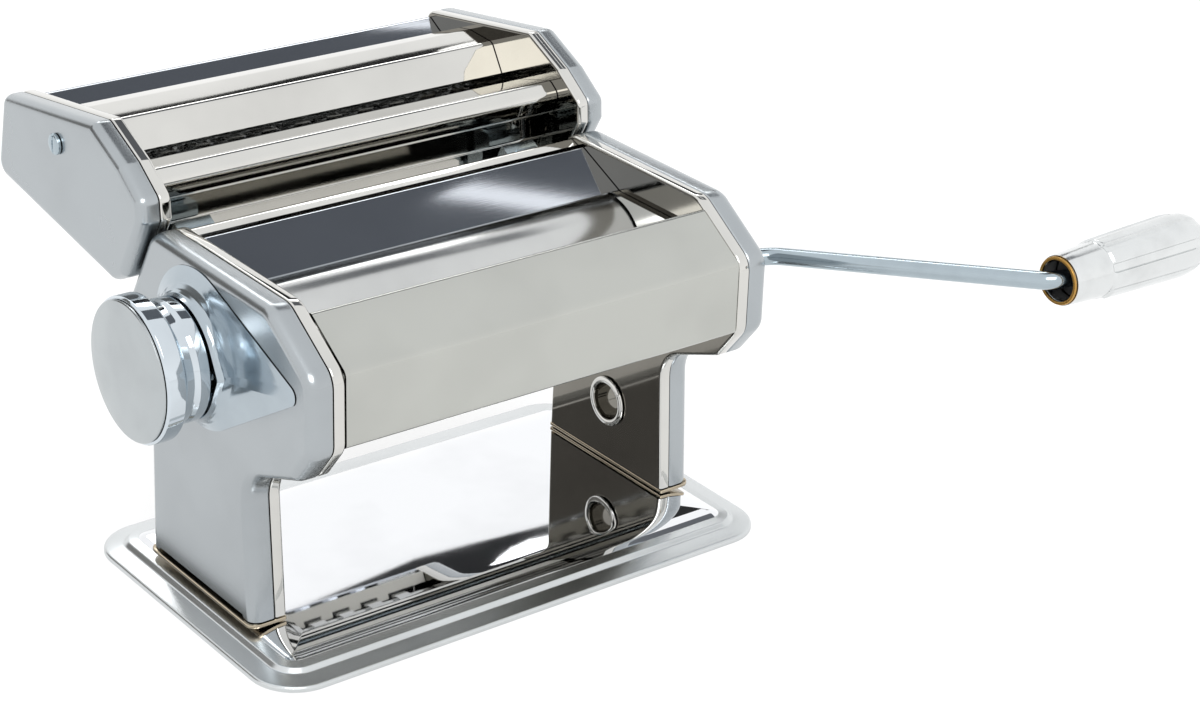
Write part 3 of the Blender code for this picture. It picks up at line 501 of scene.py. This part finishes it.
# %% Inner plates and outer covers
slot_half = 9.4
around = np.linspace(-pi / 2, 3 * pi / 2, 40, endpoint=False)
slot_loop = np.column_stack([rear_axis[0] + slot_half * np.cos(around) + 2.6 * (np.cos(around) > 0),
                             rear_axis[1] + slot_half * np.sin(around)])
for side, hand in ((-1, "left"), (1, "right")):
    bearing = circle(front_axis, 6.8 if side < 0 else 8.5)
    holes = [bearing, slot_loop, circle(axis_of("front_tie_rod"), 2.6, 24),
             circle(axis_of("rear_tie_rod"), 2.6, 24)]
    cover_holes = [circle(rear_axis, 6.6)]
    if side > 0:
        holes.append(circle(clamp_axis, 7.8))
        cover_holes = [circle(front_axis, 6.4), circle(clamp_axis, 7.8)]
    plate = pan(hand + "_bright_plate", body_ring, pan_profile(75.0, 79.0, 1.2, 1.2, 1.2, 5, 0.25),
                side, holes)
    fit(plate, bright_nickel, "frame", hand + "_side_plate", painted_shade_nickel)
    # Flat faces take the second slot, nickel painted darker as a painted reflection of dark surroundings
    # (painted shade).
    plate.data.polygons.foreach_set("material_index",
                                    [int(abs(face.normal.x) > 0.98) for face in plate.data.polygons])
    cover = pan(hand + "_satin_cover", lambda inward: body_ring(inward, True),
                pan_profile(87.5, 79.3, 3.4, 4.2, 1.1), side, cover_holes, 1.1)
    fit(cover, satin_zinc, "frame", hand + "_side_cover")
    low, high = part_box(hand + "_foot_plate")
    low, high = (np.array(low) - MIDDLE) / MM, (np.array(high) - MIDDLE) / MM
    inner, outer = (low[0], high[0]) if side > 0 else (high[0], low[0])
    strip_corners = [(inner, low[1], 0.5), (outer, low[1], 3.5), (outer, high[1], 3.5),
                     (inner, high[1], 0.5)]
    strip_rings = [np.column_stack([ring := rounded(shrunk(strip_corners, inward), 6),
                                    np.full(len(ring), z)])
                   for inward, z in ((0.35, low[2]), (0.1, low[2] + 0.08), (0.0, low[2] + 0.3),
                                     (0.0, high[2] - 0.3), (0.1, high[2] - 0.08), (0.35, high[2]))]
    fit(skin(hand + "_foot_strip", strip_rings), warm_strip, "frame", hand + "_foot_plate")


# %% [markdown]
# ## Bent sheets
#
# The front, the rear, the hopper and the cutter's guards are flat strips of bright sheet, folded on
# a brake. Each is a path in the side view with a radius at every fold, thickened to a sheet and run
# straight across between the side plates.

# %% Bent sheets
def bent_sheet(node, name, path, gauge, material, half, body="frame"):
    """A folded strip: the path's outline, one sheet thick, run along X from -half to half."""
    outline = sheet_outline(rounded(path, 7, False), gauge)
    rings = [at_x(outline, x) for x in (-half, -half + 0.5, half - 0.5, half)]
    return fit(skin(name, rings, sharp=35), material, body, node)


WIDTH = 74.7
bent_sheet("front_panel", "front_sheet",
           [(-40.2, 112.6, 0), (-41.2, 116.5, 1.0), (-60.3, 104.1, 2.6), (-60.7, 80.5, 1.4),
            (-56.5, 79.0, 1.0), (-50.5, 79.4, 0)], 1.0, buffed_nickel, WIDTH)
bent_sheet("rear_panel", "rear_sheet",
           [(25.4, 116.4, 0), (29.3, 117.6, 1.4), (50.4, 80.2, 3.0), (50.4, 75.0, 2.0),
            (45.2, 69.8, 1.5), (40.5, 69.8, 0)], 1.0, bright_nickel, WIDTH)
bent_sheet("hopper_rear_plate", "hopper_sheet",
           [(2.2, 108.0, 0), (22.6, 116.9, 0.8), (23.9, 112.4, 0)], 0.8, brushed_mirror, WIDTH)
SPAN = 78.7
bent_sheet("cutter_rear_plate", "cutter_rear_sheet",
           [(112.0, 130.4, 0), (120.6, 135.2, 1.6), (125.9, 112.0, 3.0), (122.6, 107.9, 0)], 0.8,
           brushed_mirror, SPAN, "cutter_unit")
bent_sheet("cutter_roof", "cutter_roof_sheet",
           [(106.6, 128.2, 0), (101.4, 135.6, 2.0), (94.6, 136.8, 6.0), (81.4, 136.0, 2.5),
            (75.4, 126.6, 0)], 0.8, bright_nickel, SPAN, "cutter_unit")
bent_sheet("cutter_front_guard", "cutter_front_sheet",
           [(73.8, 124.8, 0), (47.0, 132.2, 2.2), (42.6, 129.0, 2.4), (44.6, 122.6, 1.2),
            (47.6, 121.2, 1.0), (49.4, 112.2, 1.2), (52.0, 110.6, 1.0), (53.6, 103.2, 2.0),
            (57.0, 101.6, 0)], 0.8, bright_nickel, SPAN, "cutter_unit")

# %% [markdown]
# The cheeks keep the dough off the roller ends. Each is a wedge that lies in the valley of the two
# rollers, so its lower edge is two arcs, half a millimetre clear of the rollers.

# %% Dough cheeks
CLEAR = 17.7
top = front_axis[1] + CLEAR + 1.0
angle = np.radians(np.linspace(90, 12, 30))
front_arc = np.column_stack([front_axis[0] + CLEAR * np.cos(angle),
                             front_axis[1] + CLEAR * np.sin(angle)])
rear_arc = np.column_stack([rear_axis[0] - CLEAR * np.cos(angle),
                            rear_axis[1] + CLEAR * np.sin(angle)])[::-1]
cheek = np.vstack([[(rear_axis[0], top), (front_axis[0], top)], front_arc, rear_arc])
for side, hand in ((-1, "left"), (1, "right")):
    fit(skin(hand + "_cheek", [at_x(cheek, side * x) for x in (72.2, 72.3, 74.6, WIDTH)]),
        bright_nickel, "frame", hand + "_dough_guide")


# %% [markdown]
# ## Turned pieces
#
# A turned piece is a profile of (x, radius) spun about its axis. Bored pieces have a profile that
# closes on itself, like a ring; solid ones end in a tiny flat at each pole.

# %% Turned pieces
def turned(node, name, profile, axis, material, bored=False, count=72, second=None):
    """Ring for every (x, radius) of the profile: (x, y0 + r cos a, z0 + r sin a)."""
    profile = np.asarray(profile, float)
    spin = 2 * pi * np.arange(count) / count
    x, r = profile[:, 0, None], profile[:, 1, None]
    rings = np.stack(np.broadcast_arrays(x + 0 * spin, axis[0] + r * np.cos(spin),
                                         axis[1] + r * np.sin(spin)), -1)
    piece = skin(name, rings, wrap=bored)
    return fit(piece, material, BODY_OF[node], node, second)


R, HALF = 17.2, 73.2
turned("front_roller", "front_smooth_roller",
       [(-82.0, 3.4), (-81.4, 4.0), (-HALF, 4.0), (-HALF, R - 0.5), (-HALF + 0.2, R - 0.15),
        (-HALF + 0.5, R), (HALF - 0.5, R), (HALF - 0.2, R - 0.15), (HALF, R - 0.5), (HALF, 5.5),
        (87.4, 5.5), (87.9, 5.0), (87.9, 3.45), (71.0, 3.45)], front_axis, ground_steel, count=96)
turned("rear_roller", "rear_smooth_roller",
       [(-78.9, 4.0), (-HALF, 4.0), (-HALF, R - 0.5), (-HALF + 0.2, R - 0.15), (-HALF + 0.5, R),
        (HALF - 0.5, R), (HALF - 0.2, R - 0.15), (HALF, R - 0.5), (HALF, 4.0), (86.0, 4.0)],
       rear_axis, ground_steel, count=96)
for node in ("front_tie_rod", "rear_tie_rod"):
    turned(node, node.replace("tie_rod", "spacer_rod"),
           [(-78.2, 2.2), (-WIDTH, 2.2), (-WIDTH, 3.0), (WIDTH, 3.0), (WIDTH, 2.2), (78.2, 2.2)],
           axis_of(node), bright_zinc, count=32)
turned("cutter_tie_rod", "cutter_spacer_rod",
       [(-82.9, 1.9), (-78.7, 1.9), (-78.7, 2.4), (78.7, 2.4), (78.7, 1.9), (82.9, 1.9)],
       axis_of("cutter_tie_rod"), bright_zinc, count=32)
turned("clamp_hole_sleeve", "rolled_collar",
       rounded([(74.7, 9.0, 0.3), (74.0, 8.9, 0.5), (73.7, 7.6, 0.8), (74.0, 6.5, 0.5),
                (75.6, 6.4, 0.6), (87.6, 6.4, 0.6), (88.7, 6.6, 0.4), (88.9, 7.6, 0.8),
                (88.6, 8.8, 0.4), (87.8, 9.0, 0.3), (87.8, 7.4, 0.2), (74.7, 7.4, 0.2)], 5),
       clamp_axis, bright_nickel, True, second=painted_shade_nickel)
# Faces inside the bore take the darker nickel: painted shade in the recess.
collar = bpy.data.objects["rolled_collar"].data
bore_side = [int(hypot(face.center.y / MM - MIDDLE[1] / MM - clamp_axis[0],
                       face.center.z / MM - clamp_axis[1]) < 6.9) for face in collar.polygons]
collar.polygons.foreach_set("material_index", bore_side)

# %% [markdown]
# ## Thickness knob
#
# The knob slides out over its shaft and turns to the next stop. It is turned from bar in two steps
# with a groove between, plated, and closed by a satin disc that is slightly domed. The profile is
# the real section: outside, round the rim, and back through the hollow where the spring sits.

# %% Thickness knob
turned("regulator_knob", "chrome_knob",
       rounded([(-111.0, 5.4, 0.2), (-111.0, 22.6, 0.3), (-110.3, 23.2, 0.5), (-104.6, 23.2, 0.9),
                (-103.4, 20.4, 0.6), (-102.4, 19.1, 1.0), (-99.5, 19.0, 2.0), (-97.9, 19.6, 0.6),
                (-94.3, 19.6, 0.6), (-94.3, 17.8, 0.2), (-107.5, 17.8, 0.3), (-107.5, 8.4, 0.3),
                (-94.4, 8.4, 0.2), (-94.4, 5.4, 0.2)], 6), rear_axis, turned_chrome, True, 128)
dome = np.linspace(0.0, 1.0, 16)
dome_profile = np.column_stack([-113.1 + 1.1 * dome ** 3.6, 0.05 + 21.9 * dome])
turned("knob_end_disc", "domed_disc",
       np.vstack([dome_profile, rounded([(-112.0, 21.95, 0), (-111.75, 22.3, 0.15),
                                         (-111.3, 22.3, 0)], 4, False), [(-111.3, 0.05)]]),
       rear_axis, satin_chrome, count=128)
turned("index_shaft", "index_spindle",
       [(-79.2, 4.6), (-79.5, 5.0), (-107.7, 5.0), (-108.2, 4.5)], rear_axis, ground_steel, count=48)
turned("index_pin", "index_peg", [(-93.7, 1.0), (-94.3, 1.4), (-107.1, 1.4)], axis_of("index_pin"),
       ground_steel, count=24)

# %% [markdown]
# The boss behind the knob is a teardrop: a large circle for the knob, a small one towards the
# front, and their common tangents. It rises from the cover like a flared foot. Between the lowest
# and the highest outline the centre, the radii and the tip are all run along one smooth curve, so
# the flare is hollow at the foot and steep under the knob.

# %% Knob boss
def teardrop(centre, radius, tip, tip_radius):
    """Arc of the large circle, then arc of the small one, between their common tangents."""
    reach = hypot(tip[0] - centre[0], tip[1] - centre[1])
    heading = atan2(tip[1] - centre[1], tip[0] - centre[0])
    spread = acos((radius - tip_radius) / reach)
    large = heading + spread + (2 * pi - 2 * spread) * np.linspace(0, 1, 96)
    small = heading - spread + 2 * spread * np.linspace(0, 1, 24)
    return np.vstack([np.column_stack([centre[0] + radius * np.cos(large),
                                       centre[1] + radius * np.sin(large)]),
                      np.column_stack([tip[0] + tip_radius * np.cos(small),
                                       tip[1] + tip_radius * np.sin(small)])])


heights = np.array([0.0, 0.5, 1.5, 2.6, 3.6, 5.5])
levels = np.array([(1.2, 91.4, 26.0, -50.6, 96.6, 3.2), (1.3, 91.0, 24.6, -47.0, 96.2, 2.6),
                   (1.7, 90.2, 22.2, -35.0, 94.0, 2.2), (2.0, 89.6, 20.6, -23.5, 91.5, 2.0),
                   (2.0, 89.4, 19.8, -18.6, 90.2, 1.6), (2.0, 89.4, 19.4, -17.9, 89.9, 1.4)])
boss_rings = []
for rise in np.concatenate([np.linspace(0.0, 3.6, 24), [4.6, 5.2, 5.5]]):
    cy, cz, radius, ty, tz, tip_radius = (np.interp(rise, heights, levels[:, k]) for k in range(6))
    boss_rings.append(at_x(teardrop((cy, cz), radius, (ty, tz), tip_radius), -87.8 - rise))
bore_angle = np.arctan2(*(boss_rings[-1][:, :0:-1] - np.array(rear_axis)[::-1]).T)
bore_ring = np.column_stack([rear_axis[0] + 5.6 * np.cos(bore_angle),
                             rear_axis[1] + 5.6 * np.sin(bore_angle)])
boss_rings += [at_x(bore_ring, -93.3), at_x(bore_ring, -87.8)]
fit(skin("teardrop_boss", boss_rings, wrap=True, sharp=40), soft_chrome, "frame", "knob_boss")


# %% [markdown]
# ## Crank
#
# The crank is a 6 mm rod bent twice in one plane. Its path is straight lines and arcs; because the
# path is flat, a ring of the rod needs only two directions: the normal of that plane, and the
# normal turned a quarter round the path.

# %% Crank rod
grip_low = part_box("crank_grip")[0]
grip_axis = axis_of("crank_grip")
grip_start = (grip_low.x / MM - MIDDLE[0] / MM) - 1.0
lean = np.array(grip_axis) - np.array(front_axis)
reach = np.linalg.norm(lean)
lean /= reach
flat_path = rounded([(73.0, 0.0, 0), (110.0, 0.0, 12.0), (grip_start - 0.8, reach, 8.0),
                     (grip_start + 56.0, reach, 0)], 16, False)
along = np.gradient(flat_path, axis=0)
along /= np.linalg.norm(along, axis=1)[:, None]
path = np.column_stack([flat_path[:, 0], front_axis[0] + flat_path[:, 1] * lean[0],
                        front_axis[1] + flat_path[:, 1] * lean[1]])
across = np.column_stack([-along[:, 1], along[:, 0] * lean[0], along[:, 0] * lean[1]])
upright = np.array([0.0, -lean[1], lean[0]])
angle = 2 * pi * np.arange(40) / 40
rod_rings = path[:, None] + 3.0 * (across[:, None] * np.cos(angle)[None, :, None]
                                   + upright * np.sin(angle)[None, :, None])
fit(skin("bent_rod", rod_rings), bright_zinc, "crank", "crank_rod")

# %% [markdown]
# The grip is a moulding with eight long pads that start in a small notch past the smooth collar. Its
# radius is a function of two parameters: a smooth taper along it, plus the height of a pad where
# the cosine of eight times the angle is high, faded in at the collar and out at the end.

# %% Crank grip
span = np.concatenate([np.linspace(1.0, 15.5, 12), np.linspace(16.0, 19.0, 13),
                       np.linspace(20.0, 56.0, 30), 56 + 8 * np.sin(np.linspace(0.05, pi / 2, 16))])
taper = np.interp(span, [1, 4, 16, 30, 52, 57, 60, 62, 63.2, 64],
                  [8.2, 8.5, 9.1, 9.5, 10.0, 9.75, 9.1, 7.9, 6.4, 3.4])
spin = 2 * pi * np.arange(192) / 192
pads = np.clip((np.cos(8 * spin) + 0.55) / 0.35, 0, 1)
pads = pads * pads * (3 - 2 * pads)
rise = np.clip((span - 16.6) / 0.7, 0, 1) * np.clip((61.5 - span) / 9.0, 0, 1) ** 0.6
notch = np.exp(-((span - 17.2) / 0.55) ** 2)
radius = taper[:, None] + 0.75 * rise[:, None] * pads - 0.45 * notch[:, None] * (1 - pads)
inner = [(59.0, 3.5), (10.5, 3.5), (10.5, 6.9), (1.15, 6.9), (1.0, 7.1)]
grip_rings = [np.column_stack([np.full(192, grip_start + a), grip_axis[0] + r * np.cos(spin),
                               grip_axis[1] + r * np.sin(spin)]) for a, r in inner]
grip_rings += [np.column_stack([np.full(192, grip_start + a), grip_axis[0] + r * np.cos(spin),
                                grip_axis[1] + r * np.sin(spin)]) for a, r in zip(span, radius)]
fit(skin("ribbed_grip", grip_rings, sharp=50), plated_plastic, "grip", "crank_grip")
turned("grip_mouth_ring", "brass_mouth",
       [(grip_start + x, r) for x, r in rounded([(0, 6.8, .15), (0, 7.9, .3), (0.7, 7.9, .15),
                                                 (0.7, 6.8, .15)], 3)], grip_axis, warm_brass, True)
turned("grip_bush", "nylon_bush",
       [(grip_start + x, r) for x, r in rounded([(7.0, 3.4, .2), (7.0, 6.6, .3), (10.2, 6.6, .3),
                                                 (10.2, 3.4, .2)], 3)], grip_axis, nylon, True)

# %% [markdown]
# ## Cutter attachment
#
# The cutter is built like the machine: bright inner plates, satin covers, bent sheets between. Its
# rollers are cut with grooves, and the discs of each roller run in the grooves of its partner. The
# front pair cuts fine noodles, the rear pair broad ones.

# %% Cutter sides
CUTTER = [(121.0, 136.8, 4.0), (60.0, 146.0, 4.0), (42.5, 137.8, 4.0), (30.6, 129.5, 4.0),
          (30.0, 122.0, 2.0), (42.3, 99.8, 4.0), (50.0, 96.0, 4.0), (127.5, 108.0, 6.0)]


def cutter_ring(inward):
    """The cutter's side outline moved inwards."""
    return rounded(shrunk(CUTTER, inward), 8)


PAIRS = [axis_of("%s_cutter_%s_roller" % (width, place)) for width in ("narrow", "wide")
         for place in ("front", "rear")]
screw_axis = axis_of("cutter_tie_rod")
for side, hand in ((-1, "left"), (1, "right")):
    holes = [circle(axis, 5.2 if k % 2 == 0 and side > 0 else 4.0, 32)
             for k, axis in enumerate(PAIRS)] + [circle(screw_axis, 2.3, 24)]
    plate = pan("cutter_%s_bright_plate" % hand, cutter_ring,
                pan_profile(79.0, 83.0, 1.2, 1.2, 1.2, 5, 0.25), side, holes)
    fit(plate, bright_nickel, "cutter_unit", "cutter_%s_plate" % hand, painted_shade_nickel)
    # Flat faces take the second slot, nickel painted darker as a painted reflection of dark surroundings
    # (painted shade).
    plate.data.polygons.foreach_set("material_index",
                                    [int(abs(face.normal.x) > 0.98) for face in plate.data.polygons])
    holes = [circle(screw_axis, 2.0, 24)]
    if side > 0:
        holes += [circle(PAIRS[0], 5.6), circle(PAIRS[2], 5.6)]
    cover = pan("cutter_%s_satin_cover" % hand, cutter_ring,
                pan_profile(90.5, 83.3, 3.2, 3.8, 1.1), side, holes, 1.1)
    fit(cover, satin_zinc, "cutter_unit", "cutter_%s_cover" % hand)


# %% Slotted screws
def slotted_screw(node, name, side):
    """A pan head, 0.75 + 0.65 sqrt(1 - (r / 3.5)^4) high, less 0.62 in the slot, where |u| < 0.48."""
    r = np.concatenate([np.linspace(0.05, 3.3, 26), np.linspace(3.35, 3.5, 4)])[:, None]
    spin = (2 * pi * np.arange(96) / 96)[None]
    u, v = r * np.cos(spin + 0.5), r * np.sin(spin + 0.5)
    dome = 0.75 + 0.65 * np.sqrt(np.clip(1 - (r / 3.5) ** 4, 0, 1))
    head = dome - 0.62 / (1 + np.exp((np.abs(u) - 0.48) * 40))
    rings = [np.stack([side * (90.8 + head[k]), screw_axis[0] + u[k], screw_axis[1] + v[k]], -1)
             for k in range(len(r))]
    shank = [(90.8, 3.5), (90.8, 1.6), (83.4, 1.6)]
    rings += [np.stack([np.full(96, side * x), screw_axis[0] + s * np.cos(spin[0] + 0.5),
                        screw_axis[1] + s * np.sin(spin[0] + 0.5)], -1) for x, s in shank]
    fit(skin(name, rings, sharp=35), bright_zinc, "cutter_unit", node)


slotted_screw("left_cutter_screw", "left_slotted_screw", -1)
slotted_screw("right_cutter_screw", "right_slotted_screw", 1)

# %% Grooved rollers
DISC, CORE = 7.7, 4.9


def grooved(node, first, disc, pitch, count, driven):
    """Discs of one width at one pitch on a core; the partner's discs stand in the gaps."""
    edge = 0.12
    left = first + pitch * np.arange(count)
    offsets = np.array([(0, CORE), (0, DISC - edge), (edge, DISC), (disc - edge, DISC),
                        (disc, DISC - edge), (disc, CORE)])
    discs = np.stack([left[:, None] + offsets[None, :, 0],
                      np.broadcast_to(offsets[:, 1], (count, 6))], -1).reshape(-1, 2)
    ends = [(90.6, 4.8), (90.6, 3.45), (77.0, 3.45)] if driven else [(77.6, CORE), (77.6, 3.6),
                                                                     (88.6, 3.6)]
    profile = np.vstack([[(-82.4, 3.6), (-77.6, 3.6), (-77.6, CORE)], discs, ends])
    turned(node, node.replace("cutter", "grooved"), profile, axis_of(node), ground_steel, count=48)


FINE_PITCH, FINE_DISC, FINE_FIRST = 4.2, 1.95, -74.6
grooved("narrow_cutter_front_roller", FINE_FIRST, FINE_DISC, FINE_PITCH, 36, True)
grooved("narrow_cutter_rear_roller", FINE_FIRST + FINE_PITCH / 2, FINE_DISC, FINE_PITCH, 35, False)
grooved("wide_cutter_front_roller", -74.8, 6.1, 13.0, 12, True)
grooved("wide_cutter_rear_roller", -74.8 + 6.5, 6.1, 13.0, 11, False)

# %% Stripping comb of the fine pair
comb_root = np.array([60.5, 103.6])
to_roller = np.array(axis_of("narrow_cutter_front_roller")) - comb_root
comb_reach = np.linalg.norm(to_roller)
to_roller /= comb_reach
back, tip = comb_reach - DISC - 0.8, comb_reach - CORE - 0.8
comb_edge = [(-SPAN, 0.0), (SPAN, 0.0), (SPAN, back)]
for k in range(34, -1, -1):
    middle = FINE_FIRST + (FINE_DISC + FINE_PITCH) / 2 + k * FINE_PITCH
    comb_edge += [(middle + 0.65, back), (middle + 0.6, tip), (middle - 0.6, tip),
                  (middle - 0.65, back)]
comb_edge.append((-SPAN, back))
comb_rings = [[(x, *(comb_root + to_roller * along + sign * 0.4 * np.array([-to_roller[1],
                                                                          to_roller[0]])))
               for x, along in comb_edge] for sign in (-1, 1)]
fit(skin("fine_comb", comb_rings), acetal, "cutter_unit", "narrow_cutter_comb")

# %% [markdown]
# ## Parts that keep their solid shape
#
# Gears, bushes, scrapers, rails, hooks, the wide comb and the spring are right as they come from
# the solid model, so they only take a finish.

# %% Finishes for the remaining parts
spring_steel = milled_steel.copy()
PLAIN = {milled_steel: ["front_roller_gear", "rear_roller_gear", "narrow_cutter_front_gear",
                        "narrow_cutter_rear_gear", "wide_cutter_front_gear",
                        "wide_cutter_rear_gear"],
         acetal: ["left_bearing_bush", "right_bearing_bush", "left_roller_carrier",
                  "right_roller_carrier", "front_scraper", "rear_scraper", "wide_cutter_comb"],
         bright_zinc: ["left_rail", "right_rail", "cutter_left_hook", "cutter_right_hook"],
         spring_steel: ["knob_spring"]}
for material, names in PLAIN.items():
    for name in names:
        nodes[name].data.materials.clear()
        nodes[name].data.materials.append(material)

# %% [markdown]
# ## Floor and boards
#
# The floor is a pale matt sweep. Three dark boards and a round window are placed by the law of the
# mirror: each stands where a bright sheet, seen from the camera, looks. Only reflections see them.
# A narrow lamp draws the streak on the hopper sheet, and two large ones light the room.

# %% Floor
floor_mesh = bpy.data.meshes.new("floor")
floor_mesh.from_pydata([(-6, -6, -2e-4), (6, -6, -2e-4), (6, 6, -2e-4), (-6, 6, -2e-4)], [],
                       [(0, 1, 2, 3)])
floor = bpy.data.objects.new("floor", floor_mesh)
bpy.context.scene.collection.objects.link(floor)
pale = bpy.data.materials.new("pale_paper_sweep")
pale.use_nodes = True
paper = pale.node_tree.nodes["Principled BSDF"]
paper.inputs["Base Color"].default_value = linear("#9C9C9C")
paper.inputs["Emission Color"].default_value = linear("#FFFFFF")
paper.inputs["Emission Strength"].default_value = 0.68
paper.inputs["Roughness"].default_value = 0.9
paper.inputs["Specular IOR Level"].default_value = 0.1
floor_mesh.materials.append(pale)


# %% Dark boards and lamps
def board(name, corners, grey, glow=0.0):
    """A flat board through its corners (metres from the base), seen only by glossy rays."""
    mesh = bpy.data.meshes.new(name)
    mesh.from_pydata([tuple(Vector(c) + Vector(MIDDLE)) for c in corners], [],
                     [tuple(range(len(corners)))])
    card = bpy.data.objects.new(name, mesh)
    bpy.context.scene.collection.objects.link(card)
    paint = bpy.data.materials.new(name + "_cloth")
    paint.use_nodes = True
    cloth = paint.node_tree.nodes["Principled BSDF"]
    cloth.inputs["Base Color"].default_value = linear(grey)
    cloth.inputs["Roughness"].default_value = 1.0
    cloth.inputs["Emission Color"].default_value = (1.0, 1.0, 1.0, 1.0)
    cloth.inputs["Emission Strength"].default_value = glow
    mesh.materials.append(paint)
    card.visible_camera = card.visible_diffuse = card.visible_shadow = False


def lamp(name, centre, size, aim, power):
    """A rectangular soft lamp."""
    data = bpy.data.lights.new(name, "AREA")
    data.shape = "RECTANGLE"
    data.size, data.size_y = size
    data.energy = power
    item = bpy.data.objects.new(name, data)
    bpy.context.scene.collection.objects.link(item)
    place = Vector(centre) + Vector(MIDDLE)
    item.matrix_world = (Matrix.Translation(place)
                         @ (Vector(aim) + Vector(MIDDLE) - place).to_track_quat("-Z", "Y")
                         .to_matrix().to_4x4())


board("ceiling_board", [(0.16, 0.14, 1.2), (1.16, 0.14, 1.2), (1.16, 0.58, 1.2), (0.16, 0.58, 1.2)],
      "#5F6267")
board("back_board", [(0.455, 1.25, 0.875), (0.62, 1.10, 0.79), (0.71, 1.03, 0.728),
                     (0.806, 0.957, 0.688), (0.88, 0.90, 0.658), (1.089, 0.763, 0.56),
                     (1.089, 0.763, 0.92), (0.455, 1.25, 1.24)], "#17181A")
window_centre = np.array([0.7875, 0.9701, 0.7237])
window_wide, window_high = np.array([0.0258, -0.0196, -0.013]), np.array([0.0005, -0.0005, 0.0185])
board("round_window", [tuple(window_centre + window_wide * np.cos(a) + window_high * np.sin(a))
                       for a in 2 * pi * np.arange(12) / 12], "#FFFFFF", 1.0)
board("left_board", [(-1.75, 0.85, 0.25), (-0.55, 1.75, 0.25), (-0.55, 1.75, 1.2),
                     (-1.75, 0.85, 1.2)], "#6A6865")
lamp("spot_lamp", (0.80, 0.33, 1.17), (0.26, 0.035), (0.05, 0.01, 0.11), 0.045)
lamp("key_lamp", (-0.9, -1.2, 1.6), (1.0, 1.0), (0, 0, 0.05), 14.0)
lamp("back_lamp", (0.9, 1.6, 1.6), (1.2, 0.6), (0, 0, 0.05), 8.0)
